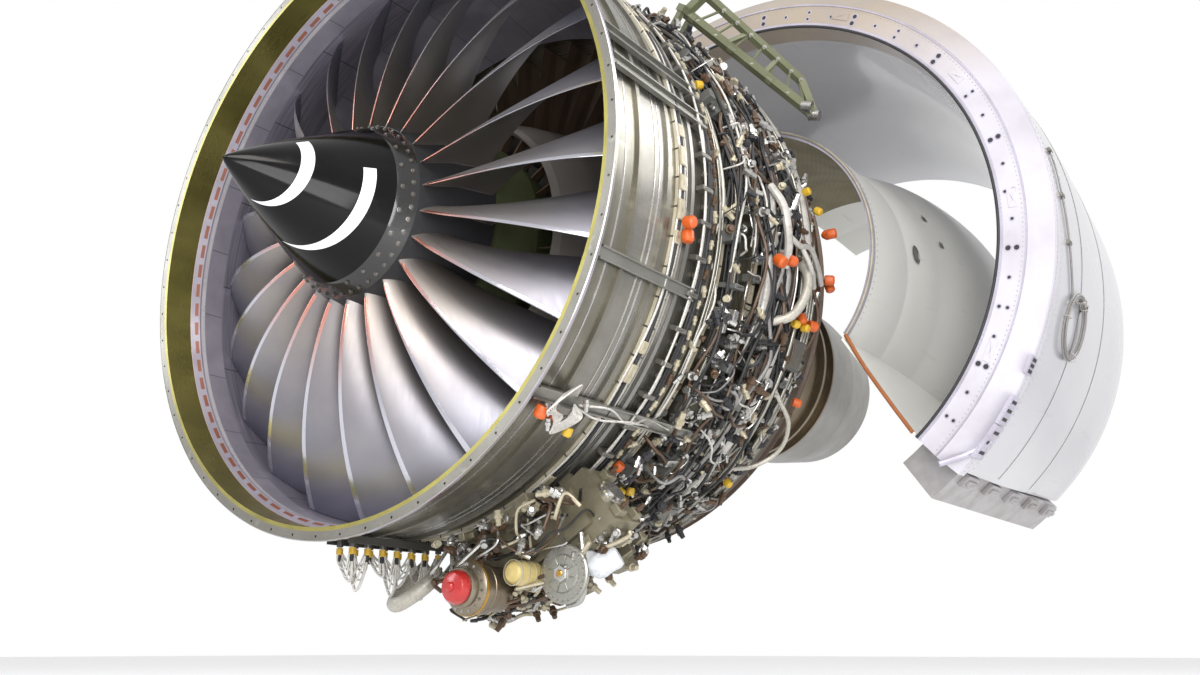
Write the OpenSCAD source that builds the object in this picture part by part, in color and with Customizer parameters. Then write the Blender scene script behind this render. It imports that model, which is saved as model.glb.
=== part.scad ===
// High-bypass turbofan on its hinge beam, with both halves of the reverser duct swung open.
// Y runs aft along the shaft from the front flange, X to the engine's left, Z up.
// A clock angle is counted from the top, clockwise as seen from the front.

/* [Fan] */
// Number of fan blades
fan_blades_n = 22; // [18:1:24]
// Radius over the fan blade tips
fan_tip_r = 1490; // [1440:5:1540]
// Running gap between blade tips and fan track
tip_gap = 4; // [2:0.5:8]
// Radius of the blade platform at the leading edge
hub_front_r = 440; // [425:5:455]
// Radius of the blade platform at the trailing edge
hub_rear_r = 550; // [540:5:560]
// Station of the blade root's leading edge
blade_root_y = 45; // [35:5:60]
// Axial length of the blade at the root
blade_root_len = 370; // [340:5:380]
// Axial length of the blade at the tip
blade_tip_len = 250; // [220:5:270]
// How far the tip's leading edge lies behind the root's
blade_sweep = 330; // [300:5:350]
// Turn of the tip section from leading to trailing edge
blade_tip_turn = 15.5; // [12:0.5:16]
// Tangential run of the root section
blade_root_run = 36; // [20:2:40]
// Greatest thickness of the blade at the root
blade_root_t = 34; // [24:1:38]
// Greatest thickness of the blade at the tip
blade_tip_t = 9; // [6:0.5:14]
// Rim radius of the fan disc
disc_rim_r = 392; // [385:1:396]
// Bore radius of the fan disc
disc_bore_r = 150; // [130:5:180]
// Length of the spinner from its point to the blade platforms
spinner_len = 755; // [650:5:850]
// Length of the ring between spinner cone and platforms
fairing_len = 95; // [70:5:120]
// Wall of the spinner cone
spinner_wall = 7; // [4:1:12]

/* [Fan case] */
// Radial depth of the liner panels in front of the fan
liner_t = 26; // [20:1:34]
// Wall of the fan case
case_wall = 22; // [16:1:30]
// Length of the front fan case
case_front_len = 850; // [820:10:900]
// Length of the rear fan case
case_rear_len = 1100; // [1060:10:1140]
// Thickness of the case flanges
flange_t = 18; // [14:1:24]
// Radial height of the front flange above the case bore
front_flange_h = 60; // [50:1:70]
// Number of bolts in the front flange
front_bolts_n = 60; // [36:4:72]
// Radius of a front flange bolt hole
front_hole_r = 6; // [4:0.5:8]
// Height of the stiffening ribs
rib_h = 14; // [8:1:20]
// Length of the dark ring that carries the reverser groove
groove_ring_len = 160; // [120:5:180]
// Number of outlet guide vanes
vanes_n = 44; // [36:2:52]
// Axial chord of an outlet guide vane
vane_chord = 300; // [240:5:320]
// Radius of the bypass duct's inner wall at the vanes
duct_inner_r = 850; // [820:5:880]

/* [Core] */
// Station of the splitter lip
splitter_y = 690; // [660:5:720]
// Radius of the splitter lip
splitter_r = 704; // [690:2:720]
// Wall of the core casings
core_wall = 9; // [6:1:14]
// Outer radius of the fan shaft
fan_shaft_r = 62; // [50:1:66]
// Wall of the three shafts
shaft_wall = 13; // [8:1:16]
// Radial gap between one shaft and the next
shaft_gap = 9; // [6:1:12]
// Blades in each drawn compressor row
core_row_n = 30; // [20:2:40]
// Length of the whole gas generator behind the front flange
core_len = 4000; // [3900:10:4100]
// Number of fuel nozzles
nozzles_n = 20; // [14:2:24]

/* [Gearbox and units] */
// Inner radius of the gearbox casing round the fan case
gearbox_r = 1590; // [1580:5:1610]
// Radial depth of the gearbox casing
gearbox_h = 300; // [270:5:310]
// Axial width of the gearbox casing
gearbox_w = 190; // [150:5:210]
// Radius of the starter barrel
starter_r = 112; // [90:2:120]

/* [Reverser] */
// Angle by which each half stands open
open_deg = 32; // [20:1:40]
// Height of the hinge line above the shaft
hinge_z = 1700; // [1680:5:1730]
// Distance of each hinge line from the middle
hinge_x = 250; // [230:5:270]
// Radius of the duct's outer wall at its front
duct_outer_r = 1500; // [1490:5:1510]
// Outer radius of the cowl at its front
cowl_r = 1760; // [1740:5:1780]
// Outer radius of the cowl at its rear edge
cowl_rear_r = 1650; // [1620:5:1680]
// Axial length of one reverser half
reverser_len = 2580; // [2520:10:2640]
// Axial length of the fixed front frame
torque_box_len = 170; // [150:5:200]
// Travel of the sliding cowl
cowl_travel = 600; // [500:10:650]
// Radius of the inner fixed wall at its front
inner_wall_r = 830; // [820:5:840]

/* [Fits] */
// Clearance between pieces that seat on each other
fit = 0.3; // [0.2:0.05:0.5]
// Running clearance of pins and shafts
run_fit = 0.05; // [0.02:0.01:0.1]

/* [Hidden] */
$fn = 64;
round_fn = 200;
pitch = 360 / fan_blades_n;
// Fan case radii and stations
track_r = fan_tip_r + tip_gap;
bore_r = track_r + liner_t;
skin_r = bore_r + case_wall;
flange_r = bore_r + front_flange_h;
taper_y = case_front_len - 210;
bore_rear_r = bore_r - 40;
skin_rear_r = bore_rear_r + case_wall;
joint_flange_r = skin_rear_r + 35;
rear_y0 = case_front_len + fit;
rear_y1 = rear_y0 + case_rear_len;
groove_y0 = rear_y1 + fit;
groove_y1 = groove_y0 + groove_ring_len;
vane_y0 = rear_y0 + 380;
vane_ring_y0 = vane_y0 - 35;
vane_ring_y1 = vane_y0 + vane_chord + 60;
vane_tip_r = track_r - 64;
vane_ring_t = 15;
rail_r = skin_r + 22;
// Reverser stations in the closed frame
rev_y0 = groove_y1 + 20;
rev_y1 = rev_y0 + reverser_len;
box_y1 = rev_y0 + torque_box_len;
hinge_clock = atan2(hinge_x, hinge_z);

// Turned shape about the shaft: profile points are [radius, station]
module turned(pts) rotate([-90, 0, 0]) rotate_extrude($fn = round_fn) polygon(pts);

// Part of a turned shape from clock angle a0 to a1
module turned_part(pts, a0, a1)
    rotate([-90, 0, 0]) rotate([0, 0, a0 - 90]) rotate_extrude(angle = a1 - a0, $fn = round_fn) polygon(pts);

// Carries a piece drawn at the top of the engine round to a clock angle
module clock(a) rotate([0, a, 0]) children();

// Cylinder along Y from station y0, at the top of the engine on radius r
module lug_y(r, y0, len, rad) translate([0, y0, r]) rotate([-90, 0, 0]) cylinder(h = len, r = rad);

// Rectangular profile with corners [r0, y0] and [r1, y1]
function band(r0, r1, y0, y1) = [[r0, y0], [r1, y0], [r1, y1], [r0, y1]];

// Blend between a and b
function mix(a, b, t) = a + (b - a) * t;

// Straight square bar between two points
module bar(p, q, w) {
    d = q - p;
    len = norm(d);
    translate(p) rotate([0, acos(d[2] / len), atan2(d[1], d[0])])
        translate([-w / 2, -w / 2, 0]) cube([w, w, len]);
}

// Platform cone under the blades
platform_y0 = blade_root_y - 8;
platform_y1 = blade_root_y + blade_root_len + 15;
function hub_r(y) = mix(hub_front_r, hub_rear_r, (y - blade_root_y) / blade_root_len);

// Blade section s runs from 0 at the platform to 1 at the tip
blade_rows = [0, 0.12, 0.27, 0.42, 0.57, 0.7, 0.82, 0.92, 1];
blade_stations = [0.05, 0.22, 0.45, 0.7, 0.92];
blade_root_camber = 34;
blade_tip_camber = 12;
tip_run = fan_tip_r * blade_tip_turn * PI / 180;
function run(s) = mix(blade_root_run, tip_run, pow(s, 0.85));
function chord_len(s) = mix(blade_root_len, blade_tip_len, s);
function chord_y0(s) = blade_root_y + blade_sweep * pow(s, 2.2);
function camber(s) = mix(blade_root_camber, blade_tip_camber, s);
function thick(s) = mix(blade_root_t, blade_tip_t, pow(s, 0.6));
function half_thick(t) = pow(sin(180 * pow(t, 0.8)), 0.6) / 2;

// Point of a section: t along the chord, side 1 forward and -1 aft, extra clearance off the skin
function section_pt(s, t, side, extra) =
    let (a = chord_len(s), b = run(s), l = norm([a, b]))
    let (off = camber(s) * (4 * t * (1 - t) - 0.6) + side * (thick(s) * half_thick(t) + extra))
    [b * (0.5 - t) - off * a / l, chord_y0(s) + a * t - off * b / l];

// Closed section from the leading edge down the forward face and back up the aft face
function section(s) = concat(
    [section_pt(s, 0, 1, 0)],
    [for (t = blade_stations) section_pt(s, t, 1, 0)],
    [section_pt(s, 1, 1, 0)],
    [for (i = [len(blade_stations) - 1:-1:0]) section_pt(s, blade_stations[i], -1, 0)]);

// A section wrapped onto the stream surface between platform and tip
function wrap(s) = [for (p = section(s))
    let (r = mix(hub_r(p[1]), fan_tip_r, s), a = p[0] / r * 180 / PI)
    [r * sin(a), p[1], r * cos(a)]];

// Root ring of half width w at height z, straight along the shaft
root_y0 = blade_root_y + 12;
root_len = blade_root_len - 24;
function root_ring(w, z) = concat(
    [[0, root_y0, z]],
    [for (t = blade_stations) [-w, root_y0 + root_len * t, z]],
    [[0, root_y0 + root_len, z]],
    [for (i = [len(blade_stations) - 1:-1:0]) [w, root_y0 + root_len * blade_stations[i], z]]);
function shank_ring(z) = [for (p = section(0)) [p[0], p[1], z]];

dovetail_w = 30;
neck_w = 20;
dovetail_h = 52;
neck_h = 22;

// One swept, twisted and cambered blade with its dovetail root
module fan_blade() {
    rings = concat(
        [root_ring(dovetail_w, disc_rim_r - dovetail_h), root_ring(neck_w, disc_rim_r - neck_h),
         root_ring(neck_w, disc_rim_r), shank_ring(disc_rim_r + 14)],
        [for (s = blade_rows) wrap(s)]);
    n = len(rings[0]);
    m = len(rings);
    sides = [for (j = [0:m - 2]) for (i = [0:n - 1])
        let (a = j * n + i, b = j * n + (i + 1) % n)
        each [[a, b, b + n], [a, b + n, a + n]]];
    k = len(blade_stations);
    cap = concat([[0, 1, n - 1]],
        [for (i = [1:k - 1]) each [[i, i + 1, n - i], [i + 1, n - i - 1, n - i]]],
        [[k, k + 1, k + 2]]);
    top = (m - 1) * n;
    polyhedron(
        points = [for (r = rings) each r],
        faces = concat([for (f = cap) [f[2], f[1], f[0]]], sides, [for (f = cap) f + [top, top, top]]));
}

module fan_blades() {
    color("silver") for (k = [0:fan_blades_n - 1]) clock(k * pitch) fan_blade();
}

// Flat plan of everything on the far side of a blade's root skin
filler_gap = 2 * fit;
function root_edge(side) = [for (t = [0, each blade_stations, 1]) section_pt(0, t, side, filler_gap)];
module beyond_root(side) {
    far = -side * 190;
    edge = root_edge(side);
    last = edge[len(edge) - 1];
    pts = concat(
        [[-far, platform_y0 - 5], [edge[0][0], platform_y0 - 5]],
        edge,
        [[last[0], platform_y1 + 5], [-far, platform_y1 + 5]]);
    translate([0, 0, disc_rim_r - 10]) linear_extrude(hub_rear_r - disc_rim_r + 60) polygon(pts);
}

// Filler between two blades: it closes the platform cone
filler_t = 12;
module annulus_filler() {
    over = 7;
    difference() {
        turned_part([[hub_r(platform_y0) - filler_t, platform_y0], [hub_r(platform_y0) - fit, platform_y0],
            [hub_r(platform_y1) - fit, platform_y1], [hub_r(platform_y1) - filler_t, platform_y1]],
            -over, pitch + over);
        beyond_root(-1);
        clock(pitch) beyond_root(1);
    }
}

module annulus_fillers() {
    color("dimgray") for (k = [0:fan_blades_n - 1]) clock(k * pitch) annulus_filler();
}

// Disc with dovetail slots, a bored web and arms fore and aft
disc_y0 = blade_root_y + 5;
disc_y1 = blade_root_y + blade_root_len - 5;
disc_arm_r = 330;
slot_clear = 0.5;
module fan_disc() {
    mid = (disc_y0 + disc_y1) / 2;
    color("gray") difference() {
        turned([[disc_bore_r, mid - 60], [disc_bore_r + 40, mid - 60], [disc_bore_r + 70, mid - 25],
            [disc_arm_r - 60, mid - 22], [disc_arm_r - 20, disc_y0 + 25],
            [disc_arm_r - 20, platform_y0], [disc_arm_r + 5, platform_y0], [disc_arm_r + 5, disc_y0],
            [disc_rim_r, disc_y0], [disc_rim_r, disc_y1], [disc_arm_r - 20, disc_y1],
            [disc_arm_r - 60, mid + 22], [disc_bore_r + 70, mid + 25], [disc_bore_r + 40, mid + 60],
            [disc_bore_r + 40, disc_y1 + 30], [disc_bore_r, disc_y1 + 30]]);
        for (k = [0:fan_blades_n - 1]) clock(k * pitch)
            translate([0, disc_y1 + 1, disc_rim_r]) rotate([90, 0, 0]) linear_extrude(disc_y1 - disc_y0 + 2)
                polygon([[-dovetail_w - slot_clear, -dovetail_h - slot_clear],
                    [dovetail_w + slot_clear, -dovetail_h - slot_clear],
                    [dovetail_w + slot_clear, -dovetail_h + 4], [neck_w + slot_clear, -neck_h],
                    [neck_w + slot_clear, 5], [-neck_w - slot_clear, 5],
                    [-neck_w - slot_clear, -neck_h], [-dovetail_w - slot_clear, -dovetail_h + 4]]);
    }
}

// Spinner: cone shell with a rounded point, then the bolted fairing ring
spinner_tip_y = platform_y0 - fit - spinner_len;
fairing_y0 = platform_y0 - fit - fairing_len;
fairing_rear_r = hub_r(platform_y0) - 2;
function spinner_r(y) = fairing_rear_r * pow((y - spinner_tip_y) / spinner_len, 0.88);
module spinner_cone() {
    n = 12;
    ys = [for (i = [0:n]) spinner_tip_y + (fairing_y0 - fit - spinner_tip_y) * pow(i / n, 1.5)];
    outer = [for (y = ys) [spinner_r(y), y]];
    end_y = fairing_y0 - fit;
    color("black") turned(concat(
        [for (p = outer) p],
        [[spinner_r(end_y) - 40, end_y], [spinner_r(end_y) - 40, end_y - 12],
         [spinner_r(end_y - 12) - spinner_wall, end_y - 12]],
        [for (i = [n - 2:-1:2]) [spinner_r(ys[i]) - spinner_wall, ys[i]]],
        [[0, spinner_tip_y + 45]]));
}

module spinner_fairing() {
    r0 = spinner_r(fairing_y0);
    r1 = fairing_rear_r;
    y1 = platform_y0 - fit;
    color("black") turned([[r0 - 60, fairing_y0], [r0, fairing_y0], [spinner_r((fairing_y0 + y1) / 2), (fairing_y0 + y1) / 2],
        [r1, y1], [disc_arm_r - 25, y1], [disc_arm_r - 25, y1 - 14], [r1 - 34, y1 - 14],
        [r0 - 14, fairing_y0 + 14], [r0 - 60, fairing_y0 + 14]]);
}

// Cap screws round the fairing, each in line with a filler
module spinner_bolts() {
    y = (fairing_y0 + platform_y0) / 2;
    slope = atan2(spinner_r(y + 20) - spinner_r(y), 20);
    color("silver") for (k = [0:fan_blades_n - 1]) for (row = [0, 1]) clock((k + 0.5) * pitch)
        translate([0, y - 22 + 44 * row, spinner_r(y - 22 + 44 * row) + 2 * fit]) rotate([slope, 0, 0])
            cylinder(h = 9, r = 11, $fn = 24);
}

// Fan shaft: flange on the disc's rear arm, cone, then a long tube to the turbine
turbine_y = core_len - 620;
fan_shaft_y0 = disc_y1 + 30 + fit;
fan_flange_r = disc_bore_r + 40;
module fan_shaft() {
    r = fan_shaft_r;
    w = shaft_wall;
    color("gray") turned([[disc_bore_r - 20, fan_shaft_y0], [fan_flange_r, fan_shaft_y0],
        [fan_flange_r, fan_shaft_y0 + flange_t], [disc_bore_r, fan_shaft_y0 + flange_t],
        [r + 8, fan_shaft_y0 + 190], [r, fan_shaft_y0 + 220], [r, turbine_y - fit], [r - w, turbine_y - fit],
        [r - w, fan_shaft_y0 + 210], [disc_bore_r - 20, fan_shaft_y0 + flange_t]]);
}

// Row of straight blades or vanes between two radii, set at an angle to the shaft
module blade_row(n, y, chord, r0, r1, lean, t)
    for (k = [0:n - 1]) clock(k * 360 / n)
        translate([0, y + chord / 2, r0]) rotate([0, 0, lean])
            translate([-t / 2, -chord / 2, 0]) cube([t, chord, r1 - r0]);

// Core gas path: stations and radii of hub and casing
ipc_y0 = splitter_y + 190;
ipc_y1 = ipc_y0 + 560;
ipc_tip0 = splitter_r - 60;
ipc_tip1 = 480;
hpc_y0 = ipc_y1 + 330;
hpc_y1 = hpc_y0 + 560;
hpc_tip0 = 400;
hpc_tip1 = 330;
burner_y1 = hpc_y1 + 440;
burner_r = 540;
turbine_front_y = burner_y1 + 20;
mid_shaft_in_r = fan_shaft_r + shaft_gap;
mid_shaft_r = mid_shaft_in_r + shaft_wall;
core_shaft_in_r = mid_shaft_r + shaft_gap;
core_shaft_r = core_shaft_in_r + shaft_wall;
row_t = 6;
blade_gap = 3;
function ipc_tip(y) = mix(ipc_tip0, ipc_tip1, (y - ipc_y0) / (ipc_y1 - ipc_y0));
function hpc_tip(y) = mix(hpc_tip0, hpc_tip1, (y - hpc_y0) / (hpc_y1 - hpc_y0));
function turbine_tip(y) = mix(450, 640, (y - turbine_front_y) / (core_len - 150 - turbine_front_y));

// Turbine disc with a rim and one row of blades
module turbine_wheel(y, bore, rim, tip, n, w) {
    turned([[bore, y + w / 2 - 28], [bore + 40, y + w / 2 - 28], [bore + 70, y + w / 2 - 9],
        [rim - 30, y + w / 2 - 9], [rim - 22, y], [rim, y], [rim, y + w], [rim - 22, y + w],
        [rim - 30, y + w / 2 + 9], [bore + 70, y + w / 2 + 9], [bore + 40, y + w / 2 + 28], [bore, y + w / 2 + 28]]);
    blade_row(n, y + 8, w - 16, rim - 4, tip, 25, row_t);
}

module low_pressure_turbine() {
    ys = [for (i = [0:2]) turbine_y + 20 + 150 * i];
    color("peru") {
        for (y = ys) turbine_wheel(y, fan_shaft_r + 60, turbine_tip(y) - 150, turbine_tip(y) - blade_gap - 8, core_row_n, 90);
        for (i = [0, 1]) turned(band(turbine_tip(ys[i]) - 190, turbine_tip(ys[i]) - 175, ys[i] + 50, ys[i + 1] + 40));
        turned(band(fan_shaft_r - shaft_wall, fan_shaft_r + 62, turbine_y, turbine_y + 100));
        turned(band(fan_shaft_r - shaft_wall, fan_shaft_r, turbine_y + 90, core_len + 60));
    }
}

module intermediate_rotor() {
    rows = [0, 170, 340];
    ys = [for (d = rows) ipc_y0 + 60 + d];
    wheel_y = turbine_y - 130;
    color("lightsteelblue") {
        turned([[ipc_tip(ipc_y0) - 190, ipc_y0 + 40], [ipc_tip(ipc_y0) - 175, ipc_y0 + 40],
            [ipc_tip(ipc_y1) - 75, ipc_y1 - 70], [ipc_tip(ipc_y1) - 90, ipc_y1 - 70]]);
        for (i = [0:2]) blade_row(core_row_n, ys[i], 70, mix(ipc_tip(ipc_y0) - 180, ipc_tip(ipc_y1) - 85,
            (ys[i] + 35 - ipc_y0 - 40) / (ipc_y1 - 110 - ipc_y0)), ipc_tip(ys[i] + 70) - blade_gap - 2, -30, row_t);
        turned([[mid_shaft_in_r, ipc_y1 - 100], [mid_shaft_r + 20, ipc_y1 - 100], [ipc_tip(ipc_y1) - 88, ipc_y1 - 85],
            [ipc_tip(ipc_y1) - 88, ipc_y1 - 70], [mid_shaft_r + 10, ipc_y1 - 80], [mid_shaft_r, ipc_y1 - 60],
            [mid_shaft_r, wheel_y + 60], [mid_shaft_in_r, wheel_y + 60]]);
        turbine_wheel(wheel_y, mid_shaft_in_r, turbine_tip(wheel_y) - 120, turbine_tip(wheel_y) - blade_gap - 8, core_row_n, 80);
    }
}

module core_rotor() {
    rows = [0, 170, 340];
    ys = [for (d = rows) hpc_y0 + 50 + d];
    wheel_y = turbine_front_y + 40;
    color("slategray") {
        turned([[hpc_tip(hpc_y0) - 150, hpc_y0 + 30], [hpc_tip(hpc_y0) - 135, hpc_y0 + 30],
            [hpc_tip(hpc_y1) - 55, hpc_y1 - 60], [hpc_tip(hpc_y1) - 70, hpc_y1 - 60]]);
        for (i = [0:2]) blade_row(core_row_n, ys[i], 60, mix(hpc_tip(hpc_y0) - 142, hpc_tip(hpc_y1) - 64,
            (ys[i] + 30 - hpc_y0 - 30) / (hpc_y1 - 90 - hpc_y0)), hpc_tip(ys[i] + 60) - blade_gap - 2, -30, row_t);
        turned([[core_shaft_in_r, core_bearing_y - 10], [core_shaft_r, core_bearing_y - 10], [core_shaft_r, hpc_y1 - 90],
            [hpc_tip(hpc_y1) - 68, hpc_y1 - 72], [hpc_tip(hpc_y1) - 68, hpc_y1 - 60], [core_shaft_r, hpc_y1 - 70],
            [core_shaft_r, wheel_y + 80], [core_shaft_in_r, wheel_y + 80]]);
        turned([[core_shaft_in_r, hpc_y0 + 30], [core_shaft_r + 8, hpc_y0 + 30], [hpc_tip(hpc_y0) - 148, hpc_y0 + 30],
            [hpc_tip(hpc_y0) - 148, hpc_y0 + 42], [core_shaft_r, hpc_y0 + 62], [core_shaft_in_r, hpc_y0 + 62]]);
        turbine_wheel(wheel_y, core_shaft_in_r, turbine_tip(wheel_y) - 100, turbine_tip(wheel_y) - blade_gap - 8, core_row_n, 80);
    }
}

// Fixed structure that carries the front bearings and the core's inner wall
bearing_w = 50;
front_bearing_y = fan_shaft_y0 + 240;
mid_bearing_y = ipc_y1 + 60;
core_bearing_y = hpc_y0 - 70;
rear_bearing_y = core_len - 60;
front_bearing_out = 110;
inlet_hub_r = hub_rear_r + 40;
module front_bearing_housing() {
    y0 = platform_y1 + 12;
    color("lightgray") turned([[hub_r(platform_y1) - 14, y0], [hub_r(platform_y1) + 4, y0], [inlet_hub_r, splitter_y + 20],
        [inlet_hub_r - 40, ipc_y0 + 20], [inlet_hub_r - 110, ipc_y0 + 30], [inlet_hub_r - 110, ipc_y0 + 18],
        [inlet_hub_r - 60, ipc_y0 + 6], [inlet_hub_r - 16, splitter_y + 10], [inlet_hub_r - 90, splitter_y - 20],
        [front_bearing_out + 14, front_bearing_y + bearing_w], [front_bearing_out, front_bearing_y + bearing_w],
        [front_bearing_out, front_bearing_y], [front_bearing_out + 14, front_bearing_y],
        [inlet_hub_r - 100, splitter_y - 45], [inlet_hub_r - 40, splitter_y - 30]]);
}

// Bearings as closed races, one for each seat
module bearing(r0, r1, y) turned(band(r0, r1, y + 2, y + bearing_w - 2));
module shaft_bearings() {
    color("white") {
        bearing(fan_shaft_r + run_fit, front_bearing_out, front_bearing_y);
        bearing(mid_shaft_r + run_fit, mid_shaft_r + 40, mid_bearing_y);
        bearing(core_shaft_r + run_fit, core_shaft_r + 40, core_bearing_y);
        bearing(fan_shaft_r + run_fit, fan_shaft_r + 40, rear_bearing_y);
    }
}

// Outer fairing from the splitter lip over the vane hub to the duct's inner wall
fairing_end_y = rev_y0 - 30;
module core_fairing() {
    w = core_wall;
    r = duct_inner_r;
    color("palegoldenrod") difference() {
        turned([[splitter_r, splitter_y], [splitter_r + 26, splitter_y + 40],
        [r - 50, vane_ring_y0 - 250], [r, vane_ring_y0 - 10], [r, vane_ring_y1], [r - 30, vane_ring_y1 + 400],
        [inner_wall_r - 25, fairing_end_y], [inner_wall_r - 25 - w, fairing_end_y],
        [r - 30 - w, vane_ring_y1 + 400], [r - w, vane_ring_y1], [r - w, vane_ring_y0 - 10],
        [r - 50 - w, vane_ring_y0 - 250], [splitter_r + 22 - w, splitter_y + 60], [splitter_r - 2, splitter_y + 30]]);
        drive_hole(2);
    }
}

module inlet_vanes() {
    color("tan") blade_row(36, splitter_y + 40, 60, inlet_hub_r + fit, splitter_r - 11 - fit, 10, 8);
}

case_lip = 50;
joint_t = 15;
module front_compressor_case() {
    w = core_wall;
    r0 = splitter_r - 11;
    color("darkseagreen") turned([[r0, splitter_y + 32], [r0 + 7, splitter_y + 32],
        [r0 + w, splitter_y + 115], [ipc_tip0 + w, ipc_y0],
        [ipc_tip1 + w, ipc_y1 - joint_t], [ipc_tip1 + case_lip, ipc_y1 - joint_t], [ipc_tip1 + case_lip, ipc_y1],
        [ipc_tip1, ipc_y1], [ipc_tip0, ipc_y0], [r0, splitter_y + 110]]);
}

// Structural case between the compressors: hub, struts and the ring inside the core fairing
hub_out_r = core_shaft_r + 70;
module intermediate_case() {
    y0 = ipc_y1 + fit;
    y1 = hpc_y0 - fit;
    w = core_wall;
    color("silver") difference() {
        union() {
            turned([[ipc_tip1, y0], [ipc_tip1 + case_lip, y0], [ipc_tip1 + case_lip, y0 + joint_t],
                [ipc_tip1 + w, y0 + joint_t], [hpc_tip0 + w, y1 - joint_t], [hpc_tip0 + case_lip, y1 - joint_t],
                [hpc_tip0 + case_lip, y1], [hpc_tip0, y1]]);
            turned([[ipc_tip1 - 85, y0 + 4], [ipc_tip1 - 75, y0 + 4], [hpc_tip0 - 130, y1 - 4], [hpc_tip0 - 142, y1 - 4]]);
            turned([[mid_shaft_r + 40, y0 + 50], [hub_out_r, y0 + 50], [hub_out_r, y1], [core_shaft_r + 40, y1],
                [core_shaft_r + 40, y0 + 130], [mid_shaft_r + 40, y0 + 130]]);
            turned(band(duct_inner_r - w - 22, duct_inner_r - w - fit, y0 + 10, vane_ring_y1 - 2));
            for (k = [0:9]) clock(18 + 36 * k)
                translate([-14, y0 + 20, hub_out_r - 5]) cube([28, 120, duct_inner_r - w - 12 - hub_out_r]);
        }
        drive_hole(run_fit);
    }
}

module rear_compressor_case() {
    w = core_wall;
    color("darkseagreen") turned([[hpc_tip0, hpc_y0], [hpc_tip0 + case_lip, hpc_y0], [hpc_tip0 + case_lip, hpc_y0 + joint_t],
        [hpc_tip0 + w, hpc_y0 + joint_t], [hpc_tip1 + w, hpc_y1 - joint_t], [hpc_tip1 + case_lip, hpc_y1 - joint_t],
        [hpc_tip1 + case_lip, hpc_y1], [hpc_tip1, hpc_y1]]);
}

// Combustion case with a bored pad for each fuel nozzle
nozzle_y = hpc_y1 + 210;
nozzle_stem_r = 11;
nozzle_pad_r = 26;
module combustion_case() {
    w = core_wall;
    y0 = hpc_y1 + fit;
    color("rosybrown") difference() {
        turned([[hpc_tip1, y0], [hpc_tip1 + case_lip, y0], [hpc_tip1 + case_lip, y0 + joint_t],
            [hpc_tip1 + w + 6, y0 + joint_t], [burner_r, y0 + 130], [burner_r, burner_y1 - joint_t],
            [burner_r + 25, burner_y1 - joint_t], [burner_r + 25, burner_y1], [burner_r - w, burner_y1],
            [burner_r - w, y0 + 127 + w], [hpc_tip1, y0 + joint_t + 5]]);
        for (k = [0:nozzles_n - 1]) clock((k + 0.5) * 360 / nozzles_n)
            translate([0, nozzle_y, burner_r - 40]) cylinder(h = 80, r = nozzle_stem_r + 1, $fn = 24);
    }
}

liner_out_r = 480;
module combustor_liner() {
    y0 = hpc_y1 + 150;
    y1 = burner_y1;
    color("goldenrod") turned([[345, y0], [455, y0], [liner_out_r, y0 + 30], [452, y1], [446, y1],
        [liner_out_r - 7, y0 + 34], [452, y0 + 7], [348, y0 + 7], [334, y0 + 34], [352, y1], [346, y1], [327, y0 + 30]]);
}

module fuel_nozzles() {
    color("silver") for (k = [0:nozzles_n - 1]) clock((k + 0.5) * 360 / nozzles_n)
        translate([0, nozzle_y, 0]) {
            translate([0, 0, liner_out_r + 3]) cylinder(h = burner_r - liner_out_r, r = nozzle_stem_r, $fn = 24);
            translate([0, 0, burner_r + fit]) cylinder(h = 14, r = nozzle_pad_r, $fn = 24);
            translate([0, 0, burner_r + 10]) cylinder(h = 34, r = 9, $fn = 24);
        }
}

turbine_end_y = core_len - 150;
turbine_lip_r = turbine_tip(turbine_end_y) + 50;
module turbine_case() {
    y0 = burner_y1 + fit;
    w = core_wall;
    color("burlywood") turned([[445, y0], [burner_r + 25, y0], [burner_r + 25, y0 + joint_t], [turbine_tip(y0 + 60) + w, y0 + 60],
        [turbine_tip(turbine_end_y) + w, turbine_end_y - joint_t], [turbine_lip_r, turbine_end_y - joint_t],
        [turbine_lip_r, turbine_end_y], [turbine_tip(turbine_end_y), turbine_end_y],
        [turbine_tip(turbine_front_y), turbine_front_y]]);
}

// Rear bearing frame: hub, inner gas wall, struts and outer ring
plug_r = 380;
module exhaust_frame() {
    y0 = turbine_end_y + fit;
    y1 = core_len;
    r1 = turbine_tip(turbine_end_y);
    color("gray") {
        turned([[fan_shaft_r + 40, rear_bearing_y], [150, rear_bearing_y - 40], [150, y1], [fan_shaft_r + 40, y1]]);
        turned(band(plug_r - 12, plug_r, y0 + 8, y1));
        turned([[r1, y0], [turbine_lip_r, y0], [turbine_lip_r, y0 + joint_t], [r1 + core_wall, y0 + joint_t],
            [r1 + core_wall, y1 - joint_t], [turbine_lip_r, y1 - joint_t], [turbine_lip_r, y1], [r1, y1]]);
        for (k = [0:9]) clock(36 * k)
            translate([-9, rear_bearing_y - 30, 146]) cube([18, 80, r1 + 4 - 146]);
    }
}

nozzle_len = 960;
module exhaust_nozzle() {
    y0 = core_len + fit;
    r1 = turbine_tip(turbine_end_y);
    color("lightslategray") turned([[r1, y0], [turbine_lip_r, y0], [turbine_lip_r, y0 + joint_t], [r1 + 7, y0 + joint_t],
        [r1 - 10, y0 + 0.5 * nozzle_len], [r1 - 80, y0 + nozzle_len], [r1 - 84, y0 + nozzle_len],
        [r1 - 18, y0 + 0.5 * nozzle_len]]);
}

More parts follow.
